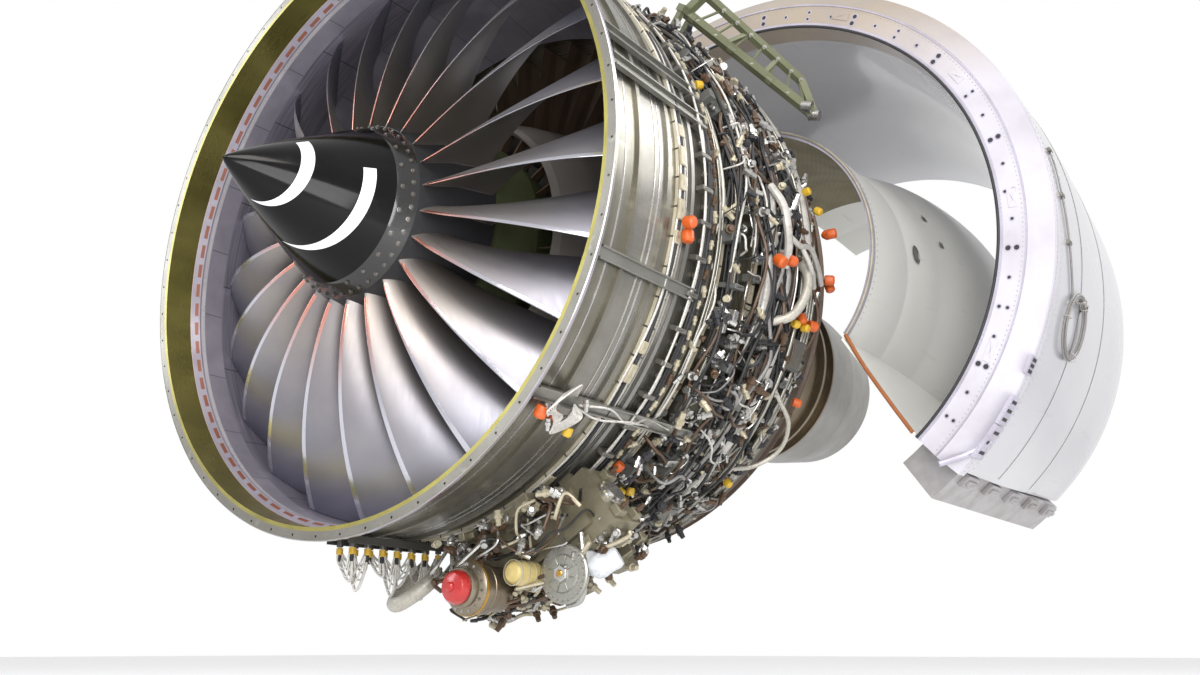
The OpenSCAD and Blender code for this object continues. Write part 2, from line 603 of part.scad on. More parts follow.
module exhaust_cone() {
    y0 = core_len + fit;
    n = 10;
    len = 1240;
    function cone_r(t) = plug_r * (1 - pow(t, 1.7));
    outer = [for (i = [0:n - 1]) [cone_r(i / n), y0 + len * i / n]];
    inner = [for (i = [n - 1:-1:1]) [max(cone_r(i / n) - 8, 2), y0 + len * i / n - 2]];
    color("lightslategray") turned(concat(outer, [[0, y0 + len]], [[0, y0 + len - 30]], inner, [[plug_r - 8, y0]]));
}

// Front fan case: a ribbed shell between two bolted flanges
ribs_y = [200, 420, 610];
rib_w = 26;
module fan_case_front() {
    outer = concat([[flange_r, 0], [flange_r, flange_t], [skin_r, flange_t]],
        [for (y = ribs_y) each [[skin_r, y], [skin_r + rib_h, y], [skin_r + rib_h, y + rib_w], [skin_r, y + rib_w]]],
        [[skin_r, taper_y + 10], [skin_rear_r, case_front_len - 30], [skin_rear_r, case_front_len - flange_t],
         [joint_flange_r, case_front_len - flange_t], [joint_flange_r, case_front_len]]);
    color("tan") difference() {
        turned(concat([[bore_r, 0]], outer, [[bore_rear_r, case_front_len], [bore_r, taper_y]]));
        for (k = [0:front_bolts_n - 1]) clock((k + 0.5) * 360 / front_bolts_n)
            translate([0, -1, (skin_r + flange_r) / 2]) rotate([-90, 0, 0])
                cylinder(h = flange_t + 2, r = front_hole_r, $fn = 24);
    }
}

// Liner panels: tapered nose, straight track and tapered tail, seated in the case bore
track_y0 = 336;
track_y1 = taper_y - 10;
module intake_liner() {
    color("lavender") turned([[bore_r - fit, 150], [track_r, 192], [track_r, track_y0 - fit], [bore_r - fit, track_y0 - fit]]);
}
module fan_track_liner() {
    color("thistle") turned(band(track_r, bore_r - fit, track_y0, track_y1));
}
module rear_liner() {
    y0 = track_y1 + fit;
    y1 = rear_y0 + 340;
    color("lightgray") turned([[track_r, y0], [bore_r - fit, y0], [bore_r - fit, taper_y - 1], [bore_rear_r - fit, case_front_len],
        [bore_rear_r - fit, rear_y0 + 20], [vane_tip_r + 12, y1], [vane_tip_r + 2, y1], [track_r - 22, case_front_len],
        [track_r, taper_y + 20]]);
}

// Rear fan case with inward feet for the vane ring
module fan_case_rear() {
    feet_r = vane_tip_r + vane_ring_t + fit;
    in_r = skin_rear_r - 14;
    color("darkkhaki") difference() {
        turned([[bore_rear_r, rear_y0], [joint_flange_r, rear_y0], [joint_flange_r, rear_y0 + flange_t],
        [skin_rear_r, rear_y0 + flange_t], [skin_rear_r, rear_y1 - flange_t], [joint_flange_r - 10, rear_y1 - flange_t],
        [joint_flange_r - 10, rear_y1], [feet_r, rear_y1], [feet_r, rear_y1 - 20], [in_r, rear_y1 - 20],
        [in_r, vane_ring_y1], [feet_r, vane_ring_y1], [feet_r, vane_ring_y1 - 20], [in_r, vane_ring_y1 - 20],
        [in_r, vane_ring_y0 + 20], [feet_r, vane_ring_y0 + 20], [feet_r, vane_ring_y0], [in_r, vane_ring_y0]]);
        drive_hole(run_fit);
    }
}

// Dark ring behind the case, with the groove that the reverser halves close round
module groove_ring() {
    r = skin_rear_r - 16;
    in_r = vane_tip_r + vane_ring_t + fit;
    color("saddlebrown") turned([[in_r, groove_y0], [joint_flange_r - 10, groove_y0], [joint_flange_r - 10, groove_y0 + flange_t],
        [r, groove_y0 + flange_t], [r, groove_y1 - 44], [r - 18, groove_y1 - 32], [r - 18, groove_y1 - 20],
        [r + 4, groove_y1 - 8], [r + 4, groove_y1], [in_r, groove_y1]]);
}

// Outlet guide vanes: one cambered, leaned section between the duct walls
module guide_vane_ring() {
    color("sienna") turned(band(vane_tip_r, vane_tip_r + vane_ring_t, vane_ring_y0, vane_ring_y1));
}
vane_t = 22;
vane_camber = 46;
module guide_vanes() {
    n = 6;
    fwd = [for (i = [0:n]) let (t = i / n) [vane_camber * 4 * t * (1 - t) * 0.5 + vane_t * half_thick(t), vane_chord * t]];
    aft = [for (i = [n - 1:-1:1]) let (t = i / n) [vane_camber * 4 * t * (1 - t) * 0.5 - vane_t * half_thick(t), vane_chord * t]];
    sweep_run = vane_camber + vane_t;
    top_z = sqrt(pow(vane_tip_r - fit, 2) - pow(sweep_run, 2));
    color("sienna") for (k = [0:vanes_n - 1]) clock(k * 360 / vanes_n)
        translate([0, vane_y0, duct_inner_r + fit]) linear_extrude(top_z - duct_inner_r - fit)
            rotate(8) translate([-vane_camber / 2, 0]) polygon(concat(fwd, aft));
}

// Raceways round the case: a lipped ring ahead of the taper and flat rings on the rear case
raceway_y = 500;
function case_skin(y) = y < taper_y + 10 ? skin_r
    : y < case_front_len - 30 ? mix(skin_r, skin_rear_r, (y - taper_y - 10) / (case_front_len - taper_y - 40))
    : skin_rear_r;
module raceway(y, w, h) {
    r0 = case_skin(y) + fit;
    turned([[r0, y], [r0 + h, y], [r0 + h, y + 4], [r0 + 5, y + 4], [r0 + 5, y + w - 4], [r0 + h, y + w - 4],
        [r0 + h, y + w], [r0, y + w]]);
}
module harness_rings() {
    color("dimgray") {
        raceway(raceway_y, 60, rib_h - fit);
        raceway(rear_y0 + 95, 34, 16);
        raceway(rear_y0 + 420, 34, 16);
        raceway(rear_y0 + 724, 40, 16);
    }
}

// Rails along the case: [clock, first station, last station, width]
rails = [[73, 40, 760, 66], [79, 40, 760, 66], [110, 36, 730, 56], [132.5, 36, 1290, 60],
    [281, 40, 760, 66], [250, 36, 730, 56], [227.5, 36, 1290, 60]];
rail_h = 22;
module axial_rails() {
    color("gainsboro") for (r = rails) clock(r[0])
        translate([0, r[2], skin_r + rib_h + fit]) rotate([90, 0, 0]) linear_extrude(r[2] - r[1])
            polygon([[-r[3] / 2, 0], [r[3] / 2, 0], [r[3] / 2, rail_h], [r[3] / 2 - 8, rail_h], [r[3] / 2 - 8, 6],
                [-r[3] / 2 + 8, 6], [-r[3] / 2 + 8, rail_h], [-r[3] / 2, rail_h]]);
}

// Gearbox: curved casing under the front case, feet on its last rib, transfer box and cover tube
gear_a0 = 143;
gear_a1 = 174;
gear_y0 = 600;
gear_y1 = gear_y0 + gearbox_w;
gear_out_r = gearbox_r + gearbox_h;
drive_clock = 165;
drive_y = vane_ring_y1 + 40;
drive_r = 14;
transfer_r0 = skin_rear_r + 60;
module gearbox_case() {
    foot_y = ribs_y[2];
    color("darkkhaki") {
        difference() {
            union() {
                turned_part(band(gearbox_r, gear_out_r, gear_y0, gear_y1), gear_a0, gear_a1);
                turned_part(band(gearbox_r + 40, gear_out_r - 60, gear_y0 - 26, gear_y1 + 26), gear_a0 + 3, gear_a1 - 3);
            }
            turned_part(band(gear_out_r - 40, gear_out_r + 10, gear_y0 + 40, gear_y1 - 40), gear_a0 + 8, gear_a0 + 20);
            turned_part(band(gear_out_r - 40, gear_out_r + 10, gear_y0 + 40, gear_y1 - 40), gear_a0 + 24, gear_a0 + 36);
        }
        for (a = [gear_a0 + 4, (gear_a0 + gear_a1) / 2, gear_a1 - 4]) clock(a)
            translate([-35, foot_y, skin_r + rib_h + fit]) cube([70, rib_w, gearbox_r - skin_r - rib_h + 9]);
        difference() {
            clock(drive_clock) translate([-70, drive_y - 70, transfer_r0]) cube([140, 140, 130]);
            clock(drive_clock) translate([0, drive_y, transfer_r0 - 1]) cylinder(h = 100, r = drive_r + 3);
        }
        lay_len = drive_y - 70 - gear_y1 - 2 * fit;
        clock(drive_clock) lug_y(gearbox_r + 65, gear_y1 + 26 + fit, lay_len - 26, 34);
    }
}

// Units on the gearbox's front face: [clock, radius from the shaft, front station, barrel radius]
starter_at = [164.4, 1854, 262];
pump_at = [157.6, 1866, 420];
disc_at = [152.6, 1950, 523];
unit_back = gear_y0 - 26 - fit;
module barrel(at, pts) clock(at[0]) translate([0, at[2], at[1]]) turned(pts);

// Stepped starter with its blanking cap over the mouth
module starter() {
    len = unit_back - starter_at[2];
    r = starter_r;
    color("firebrick") barrel(starter_at, [[0, 0], [38, 2], [62, 14], [72, 34], [74, 58], [0, 58]]);
    color("silver") barrel(starter_at, [[0, 58 + fit], [86, 58 + fit], [90, 100], [r - 2, 108], [r + 8, 116], [r + 8, 134],
        [r, 142], [r, 210], [r - 12, 226], [r - 12, len], [0, len]]);
}

module fuel_pump() {
    len = unit_back - pump_at[2];
    color("wheat") barrel(pump_at, [[0, 0], [36, 6], [50, 22], [54, 60], [54, len], [0, len]]);
}

// Generator: barrel behind a flanged drive pad with a hexagon hub
module generator() {
    len = gear_y0 - fit - disc_at[2];
    color("lightslategray") {
        barrel(disc_at, [[0, 0], [34, 0], [34, 16], [78, 16], [84, 26], [123, 26], [128, 32], [128, 46], [96, 50],
            [96, len], [0, len]]);
        clock(gear_a0 + 8) lug_y(gearbox_r + 190, gear_y1 + 26 + fit, 190, 84);
        clock(gear_a0 + 22) lug_y(gearbox_r + 170, gear_y1 + 26 + fit, 150, 66);
    }
}

// Curved oil tank on the case's right side, with filler neck
tank_r0 = skin_rear_r + 30;
module oil_tank() {
    color("silver") {
        turned_part([[tank_r0, rear_y0 + 170], [tank_r0 + 120, rear_y0 + 170], [tank_r0 + 150, rear_y0 + 210],
            [tank_r0 + 150, rear_y0 + 360], [tank_r0 + 120, rear_y0 + 400], [tank_r0, rear_y0 + 400]], 252, 276);
        for (a = [256, 272]) clock(a) translate([-20, rear_y0 + 250, skin_rear_r + fit]) cube([40, 60, 40]);
        clock(275.5) translate([5, rear_y0 + 285, tank_r0 + 70]) rotate([0, 90, 0]) cylinder(h = 55, r = 32);
    }
}

// Boxes on the case: [clock, first station, width, length, height]
boxes = [[57, 1130, 250, 270, 60], [41, 1130, 200, 270, 70], [70, 975, 150, 150, 70], [123, 1235, 120, 165, 90],
    [139, 1180, 130, 170, 80], [150, 1400, 170, 150, 90], [112, 1655, 160, 150, 70], [300, 1150, 260, 300, 80],
    [325, 1150, 220, 280, 70], [236, 1180, 180, 200, 90]];
box_stand = 17;
box_foot = 20;
box_inset = 12;
module control_boxes() {
    color("slategray") for (b = boxes) clock(b[0]) {
        half = b[2] / 2;
        near = half - box_inset - box_foot;
        seat = sqrt(pow(skin_rear_r, 2) - pow(near, 2)) + fit;
        translate([-half, b[1], skin_rear_r + box_stand]) cube([b[2], b[3], b[4]]);
        for (x = [-near - box_foot, near]) for (y = [b[1] + box_inset, b[1] + b[3] - box_inset - box_foot])
            translate([x, y, seat]) cube([box_foot, box_foot, skin_rear_r + box_stand + 1 - seat]);
    }
}

// Ducts round the case: [station, pipe radius, height of its middle over the skin, first clock, last clock]
ducts = [[1330, 34, 64, 84, 112], [1560, 30, 48, 96, 146], [1720, 38, 58, 24, 92], [1490, 28, 44, 196, 290]];
module hoop(y, rad, h, a0, a1)
    rotate([-90, 0, 0]) rotate([0, 0, a0 - 90]) rotate_extrude(angle = a1 - a0)
        translate([skin_rear_r + h, y]) circle(rad, $fn = 32);
module standoff(a, y, h, rad) clock(a) translate([0, y, skin_rear_r + fit]) cylinder(h = h - rad / 2, r = rad, $fn = 16);
module air_ducts() {
    color("whitesmoke") for (d = ducts) {
        hoop(d[0], d[1], d[2], d[3], d[4]);
        for (a = [d[3] + 5, (d[3] + d[4]) / 2, d[4] - 5]) standoff(a, d[0], d[2], 12);
    }
}

// Small pipes round the case, with the same layout of values
pipes = [[900, 9, 30, 20, 170], [925, 7, 30, 30, 160], [1045, 12, 34, 22, 54], [1045, 12, 34, 76, 168],
    [1075, 9, 34, 76, 150], [1460, 10, 36, 20, 136], [1640, 11, 90, 30, 150], [1670, 8, 30, 120, 154],
    [1830, 13, 36, 20, 168], [1865, 9, 34, 24, 160], [1895, 9, 34, 60, 172], [900, 9, 30, 190, 340],
    [1045, 12, 34, 192, 250], [1840, 13, 36, 196, 336], [1700, 11, 34, 200, 330]];
module pipe_runs() {
    color("silver") for (p = pipes) {
        hoop(p[0], p[1], p[2], p[3], p[4]);
        n = ceil((p[4] - p[3]) / 24);
        for (i = [0:n]) standoff(p[3] + 3 + (p[4] - p[3] - 6) * i / n, p[0], p[2], 5);
    }
}

// Tray under the case for the test harness: a channel on two ribs with a row of sockets
tray_w = 150;
tray_y0 = 60;
tray_y1 = 700;
tray_seat = skin_r + rib_h + fit;
tray_sockets = 7;
socket_x = 42;
socket_z0 = tray_seat + 8 + fit;
socket_end = socket_z0 + 36;
function socket_y(i) = tray_y0 + 50 + i * (tray_y1 - tray_y0 - 100) / (tray_sockets - 1);
module harness_tray() {
    clock(180) {
        color("gray") translate([0, tray_y1, tray_seat]) rotate([90, 0, 0]) linear_extrude(tray_y1 - tray_y0)
            polygon([[-tray_w / 2, 0], [tray_w / 2, 0], [tray_w / 2, 34], [tray_w / 2 - 6, 34], [tray_w / 2 - 6, 8],
                [-tray_w / 2 + 6, 8], [-tray_w / 2 + 6, 34], [-tray_w / 2, 34]]);
        color("gold") for (i = [0:tray_sockets - 1]) for (s = [-1, 1])
            translate([s * socket_x, socket_y(i), socket_z0]) cylinder(h = socket_end - socket_z0, r = 15);
    }
}

// Radial drive from the core down to the transfer box
drive_top = hub_out_r + 6;
module drive_shaft() {
    color("gray") clock(drive_clock) translate([0, drive_y, drive_top])
        cylinder(h = transfer_r0 + 80 - drive_top, r = drive_r);
}
module drive_hole(extra) clock(drive_clock) translate([0, drive_y, drive_top - 60])
    cylinder(h = transfer_r0 + 60 - drive_top, r = drive_r + extra);

// Hinge beam over the duct, with hinge lugs and pins along both sides
beam_w = 380;
beam_y0 = rev_y0 - 130;
beam_y1 = rev_y1 - 260;
beam_depth = 230;
beam_z0 = hinge_z + 60 - beam_depth;
beam_z1 = hinge_z + 60;
beam_wall = 12;
hinge_ys = [for (i = [0:3]) box_y1 + 90 + i * (reverser_len - 770) / 3];
pin_r = 16;
knuckle_r = 38;
knuckle_w = 80;
lug_w = 30;
module hinge_beam() {
    color("darkseagreen") {
        difference() {
            translate([-beam_w / 2, beam_y0, beam_z0]) cube([beam_w, beam_y1 - beam_y0, beam_z1 - beam_z0]);
            translate([-beam_w / 2 + beam_wall, beam_y0 - 1, beam_z0 + beam_wall])
                cube([beam_w - 2 * beam_wall, beam_y1 - beam_y0 + 2, beam_z1 - beam_z0 - 2 * beam_wall]);
            for (s = [-1, 1]) for (t = [-1, 1])
                translate([s * beam_w * 0.32, beam_y0 + 120 + 80 * t, beam_z1 - beam_wall - 1])
                    cylinder(h = beam_wall + 2, r = 15);
        }
        for (y = [for (i = [1:7]) beam_y0 + i * (beam_y1 - beam_y0) / 8])
            translate([-beam_w / 2 + beam_wall - 1, y, beam_z0 + beam_wall - 1])
                cube([beam_w - 2 * beam_wall + 2, 8, beam_z1 - beam_z0 - 2 * beam_wall + 2]);
        for (s = [-1, 1]) for (y = hinge_ys) for (t = [-1, 1])
            translate([s * hinge_x, y + t * (knuckle_w / 2 + 1 + lug_w / 2), hinge_z]) {
                rotate([90, 0, 0]) translate([0, 0, -lug_w / 2]) cylinder(h = lug_w, r = knuckle_r);
                translate([s > 0 ? beam_w / 2 - hinge_x - 1 : 0, -lug_w / 2, -knuckle_r])
                    cube([hinge_x - beam_w / 2 + 1, lug_w, 2 * knuckle_r]);
            }
    }
    color("silver") for (s = [-1, 1]) for (y = hinge_ys)
        translate([s * hinge_x, y - knuckle_w / 2 - 2, hinge_z]) rotate([-90, 0, 0])
            cylinder(h = knuckle_w + 4, r = pin_r);
}

// Front mount: a saddle on the rear fan case and two arms inside the beam
mount_arm_t = 30;
mount_arm_w = 40;
mount_half_w = 170;
mount_saddle_y = rear_y1 - 150;
module front_mount() {
    arm_z = beam_z0 + beam_wall + fit;
    color("silver") {
        difference() {
            translate([-mount_half_w, mount_saddle_y, arm_z - 100]) cube([2 * mount_half_w, 90, 100 + mount_arm_t]);
            turned(band(0, skin_rear_r + fit, mount_saddle_y - 1, mount_saddle_y + 91));
        }
        for (s = [-1, 1]) translate([s * 130 - mount_arm_w / 2, mount_saddle_y + 20, arm_z])
            cube([mount_arm_w, 340, mount_arm_t]);
    }
}

// Rear mount: a ring segment on the exhaust frame and two links up to the beam
module rear_mount() {
    y = turbine_end_y + 40;
    r = turbine_tip(turbine_end_y) + core_wall + fit;
    color("silver") {
        turned_part([[r, y], [r + 26, y], [r + 26, y + 60], [r, y + 60]], -24, 24);
        for (s = [-1, 1]) translate([s * 100 - 18, y + 12, r + 14]) cube([36, 36, beam_z0 - fit - r - 14]);
    }
}

// Reverser half, drawn closed on the engine's left and then swung open
module swung(side) mirror([side < 0 ? 1 : 0, 0, 0])
    translate([hinge_x, 0, hinge_z]) rotate([0, -open_deg, 0]) translate([-hinge_x, 0, -hinge_z]) children();

half_a0 = 12;
half_a1 = 170.5;
beam_a0 = 7.7;
slide_gap = atan(fit / duct_outer_r);
beam_a1 = half_a0 - slide_gap;
latch_a0 = half_a1 + slide_gap;
latch_a1 = 177.5;
frame_t = 24;
frame_slope_len = 85;
frame_a1 = half_a1 + 0.5;
module front_frame() {
    r0 = duct_outer_r;
    r1 = cowl_r;
    rm = (r0 + r1) / 2;
    face_r = rm + 20;
    y_in = rev_y0 + frame_t;
    turned_part([[r0, rev_y0], [face_r, rev_y0], [r1, rev_y0 + frame_slope_len], [r1, box_y1],
        [r1 - 12, box_y1], [r1 - 12, rev_y0 + frame_slope_len + 8], [face_r - 4, y_in],
        [rm + 10, y_in], [rm + 10, box_y1], [rm - 10, box_y1], [rm - 10, y_in],
        [r0 + 12, y_in], [r0 + 12, box_y1], [r0, box_y1]], beam_a0 + 0.3, frame_a1);
}

// Inner fixed wall with both bifurcation walls and the hinge block above them
wall_t = 14;
split_x = 230;
wall_y1 = rev_y1 - 60;
function wall_pts(extra) = [[inner_wall_r + extra, rev_y0], [inner_wall_r + 5 + extra, rev_y0 + 480],
    [inner_wall_r + 65 + extra, rev_y0 + 880], [inner_wall_r + 154 + extra, rev_y0 + 1290],
    [inner_wall_r + 190 + extra, rev_y0 + 1770], [inner_wall_r + 170 + extra, wall_y1 - 320],
    [inner_wall_r + 110 + extra, wall_y1]];
module inner_wall() {
    block_y0 = box_y1 + fit;
    block_y1 = beam_y1;
    block_r0 = duct_outer_r - 10;
    block_r1 = hinge_z - knuckle_r - 4;
    difference() {
        turned_part(concat(wall_pts(wall_t), [for (i = [6:-1:0]) wall_pts(0)[i]]), 8, 172);
        translate([split_x - 400, rev_y0 - 1, -inner_wall_r - 200])
            cube([400, reverser_len, 2 * inner_wall_r + 400]);
    }
    for (s = [0, 1]) mirror([0, 0, s]) difference() {
        translate([split_x, rev_y0 + 2, 500]) cube([wall_t, wall_y1 - rev_y0 - 502, block_r0 - 528]);
        turned(concat([[0, rev_y0 - 1]], [for (p = wall_pts(2)) p], [[0, wall_y1]]));
    }
    translate([split_x, block_y0, block_r0 - 34]) cube([64, block_y1 - block_y0, 14]);
    turned_part(band(block_r0 - 20, block_r0 - fit, rev_y0 + 4, wall_y1 - 504), latch_a0, 180 - asin(split_x / block_r0));
    difference() {
        union() {
            turned_part(band(block_r0 - 26, block_r1, block_y0, block_y1), beam_a0, beam_a1);
            for (y = hinge_ys) translate([hinge_x, y - knuckle_w / 2, hinge_z]) {
                rotate([-90, 0, 0]) cylinder(h = knuckle_w, r = knuckle_r);
                translate([-20, 0, block_r1 - hinge_z - 40]) cube([45, knuckle_w, hinge_z - block_r1 + 20]);
            }
        }
        for (y = hinge_ys) translate([hinge_x, y - knuckle_w / 2 - 3, hinge_z]) rotate([-90, 0, 0])
            cylinder(h = knuckle_w + 6, r = pin_r + run_fit);
    }
}

// Cascade basket: turning rings held between straight strongbacks
cascade_len = 560;
cascade_rings = 9;
module cascades() {
    rm = (duct_outer_r + cowl_r) / 2;
    y0 = box_y1 + fit;
    for (i = [0:cascade_rings]) turned_part(band(rm - 24, rm + 24, y0 + i * (cascade_len - 8) / cascade_rings,
        y0 + 8 + i * (cascade_len - 8) / cascade_rings), half_a0 + 2, half_a1 - 2);
    for (i = [0:10]) clock(half_a0 + 2.5 + i * (half_a1 - half_a0 - 5) / 10)
        translate([-4, y0, rm - 22]) cube([8, cascade_len, 44]);
}

// Sliding cowl: outer skin and duct wall joined at the tail, open in front for the cascades
skin_t = 16;
tail_y = rev_y1 - 360;
tail_in_r = cowl_rear_r - 205;
cavity_end_y = tail_y + 120;
outer_skin = [[cowl_r, box_y1 + fit], [cowl_r - 4, rev_y0 + 770], [cowl_r - 48, rev_y0 + 1470], [cowl_rear_r, tail_y]];
duct_skin = [[duct_outer_r, box_y1 + fit], [duct_outer_r - 4, box_y1 + 530], [duct_outer_r - 50, rev_y0 + 1300],
    [tail_in_r, tail_y - 60]];
tail_tip = [[cowl_rear_r - 190, rev_y1], [cowl_rear_r - 195, rev_y1]];
function reversed(v) = [for (i = [len(v) - 1:-1:0]) v[i]];

// The cavity between the skins stops short of the cowl's long edges
cowl_edge_a = 0.6;
cowl_a1 = half_a1 - 0.3;
cavity = concat([duct_skin[0] + [skin_t, -5]], [for (p = duct_skin) p + [skin_t, 0]],
    [[tail_in_r + 24, cavity_end_y]], [[cowl_rear_r - 88, cavity_end_y]],
    [for (p = reversed(outer_skin)) p - [skin_t, 0]], [outer_skin[0] - [skin_t, 5]]);
hoop_rib_h = 62;
hoop_rib_t = 14;
module sliding_cowl() {
    difference() {
        turned_part(concat(outer_skin, tail_tip, reversed(duct_skin)), half_a0, cowl_a1);
        turned_part(cavity, half_a0 + cowl_edge_a, cowl_a1 - cowl_edge_a);
    }
    for (p = [for (i = [1:3]) outer_skin[i] - [skin_t / 2, 40]])
        turned_part(band(p[0] - hoop_rib_h, p[0], p[1], p[1] + hoop_rib_t), half_a0 + 0.3, cowl_a1 - 0.3);
}

// Latch beam along the bottom edge, with ribs and latch lugs
module latch_beam() {
    y0 = box_y1 + fit;
    y1 = wall_y1 - 500;
    r0 = duct_outer_r - 10;
    r1 = cowl_r - 30;
    ribs = 7;
    turned_part(band(r0, r0 + 30, y0, y1), latch_a0, latch_a1);
    turned_part(band(r1 - 14, r1, y0, y1), latch_a0, latch_a1);
    for (i = [0:ribs]) turned_part(band(r0 + 28, r1 - 12, y0 + i * (y1 - y0 - 16) / ribs,
        y0 + 16 + i * (y1 - y0 - 16) / ribs), latch_a0, latch_a1);
    turned_part(band(r0 + 28, r1 - 12, y0 + 2, y1 - 2), latch_a0, latch_a0 + 0.5);
}

module left_front_frame() color("thistle") swung(1) front_frame();
module left_inner_wall() color("ivory") swung(1) inner_wall();
module left_cascades() color("dimgray") swung(1) cascades();
module left_cowl() color("whitesmoke") swung(1) {
    sliding_cowl();
    coil_hook();
}
module left_latch_beam() color("tan") swung(1) latch_beam();
module right_front_frame() color("thistle") swung(-1) front_frame();
module right_inner_wall() color("ivory") swung(-1) inner_wall();
module right_cascades() color("dimgray") swung(-1) cascades();
module right_cowl() color("whitesmoke") swung(-1) sliding_cowl();
module right_latch_beam() color("tan") swung(-1) latch_beam();

// Lattice arm that carries the front cowl doors, on two legs from the rear case
arm_clock = 36;
arm_leg_top = 1770;
arm_legs_y = [1388, 1484];
arm_tip = [1540, 2000, 870];
arm_root_low = [1040, 1450, 1440];
arm_root_high = [1170, 1450, 1510];
arm_tip_high = [1490, 1960, 1090];
module cowl_support_arm() {
    color("darkseagreen") {
        for (y = arm_legs_y) clock(arm_clock) {
            translate([-16, y, skin_rear_r + fit + 0.2]) cube([32, 32, arm_leg_top - skin_rear_r]);
            translate([-22, y - 3, skin_rear_r + fit + 0.2]) cube([44, 38, 12]);
        }
        clock(arm_clock) translate([-25, arm_legs_y[0] - 8, arm_leg_top - 10])
            cube([50, arm_legs_y[1] - arm_legs_y[0] + 48, 40]);
        bar(arm_root_low, arm_tip, 46);
        bar(arm_root_high, arm_tip_high, 40);
        bar(arm_tip_high, arm_tip, 40);
        bar(arm_root_low, arm_root_high, 46);
        for (t = [0.3, 0.6]) bar(mix(arm_root_low, arm_tip, t), mix(arm_root_high, arm_tip_high, t + 0.15), 26);
    }
}

// White test harness: loops hung from the tray's two rows of sockets
loop_r = 7;
loop_sides = 8;
loop_steps = 12;
loop_sags = [150, 190, 120, 205, 165, 215, 140];
loop_shifts = [30, -20, 45, 15, -35, 25, -15];
function loop_pt(i, t) = [-socket_x * cos(180 * t),
    socket_y(i) + loop_shifts[i] * (1 - cos(360 * t)) / 2, -socket_end - loop_sags[i] * sin(180 * t)];
function unit(v) = v / norm(v);
function loop_ring(i, t) =
    let (d = unit([socket_x * PI * sin(180 * t), loop_shifts[i] * PI * sin(360 * t),
        -loop_sags[i] * PI * cos(180 * t)]), u = unit(cross(d, [0, 1, 0])), v = cross(d, u))
    [for (k = [0:loop_sides - 1]) let (a = 360 * k / loop_sides) loop_pt(i, t) + loop_r * (u * cos(a) + v * sin(a))];
module harness_loop(i) {
    m = loop_steps;
    n = loop_sides;
    polyhedron(
        points = [for (j = [0:m]) each loop_ring(i, j / m)],
        faces = concat([[for (k = [n - 1:-1:0]) k]],
            [for (j = [0:m - 1]) for (k = [0:n - 1]) let (a = j * n + k, b = j * n + (k + 1) % n)
                each [[a, b, b + n], [a, b + n, a + n]]],
            [[for (k = [0:n - 1]) m * n + k]]));
}
module harness_loops() {
    color("white") for (i = [0:tray_sockets - 1]) harness_loop(i);
}

// Cable hung up in turns on the left cowl, over a peg with a keeper
coil_clock = 140;
coil_y = 2660;
coil_r = 165;
coil_bundle_r = 20;
coil_z = cowl_r + coil_bundle_r;
peg_r = 12;
module cable_coil() {
    color("dimgray") swung(1) clock(coil_clock) translate([0, coil_y, coil_z])
        rotate_extrude() translate([coil_r, 0]) circle(coil_bundle_r, $fn = 32);
}
module coil_hook() {
    x = coil_r - coil_bundle_r - fit - peg_r;
    keeper_z = coil_z + coil_bundle_r + fit;
    foot_z = sqrt(pow(cowl_r - 6, 2) - pow(x + peg_r, 2));
    clock(coil_clock) {
        translate([-x, coil_y, foot_z]) cylinder(h = keeper_z + 4 - foot_z, r = peg_r);
        translate([-coil_r - coil_bundle_r, coil_y - peg_r, keeper_z]) cube([2 * coil_bundle_r + 30, 2 * peg_r, 8]);
    }
}

spinner_cone();
spinner_fairing();
spinner_bolts();
fan_disc();
fan_blades();
annulus_fillers();
fan_shaft();
low_pressure_turbine();
intermediate_rotor();
core_rotor();
front_bearing_housing();
shaft_bearings();
core_fairing();
inlet_vanes();
front_compressor_case();
intermediate_case();
rear_compressor_case();
combustion_case();
combustor_liner();
fuel_nozzles();
turbine_case();
exhaust_frame();
exhaust_nozzle();
exhaust_cone();
fan_case_front();
intake_liner();
fan_track_liner();
rear_liner();
fan_case_rear();
groove_ring();
guide_vane_ring();
guide_vanes();
harness_rings();
axial_rails();
gearbox_case();
starter();
fuel_pump();
generator();
oil_tank();
control_boxes();
air_ducts();
pipe_runs();
harness_tray();
drive_shaft();
hinge_beam();
front_mount();
rear_mount();
left_front_frame();
left_inner_wall();
left_cascades();
left_cowl();
left_latch_beam();
right_front_frame();
right_inner_wall();
right_cascades();
right_cowl();
right_latch_beam();
cowl_support_arm();
harness_loops();
cable_coil();
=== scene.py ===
"""Looks of a high-bypass turbofan on its hinge beam, with both reverser halves swung open.

Lengths are in metres, Y runs aft along the shaft, and a clock angle is counted from the top,
clockwise as seen from the front.
"""

import math

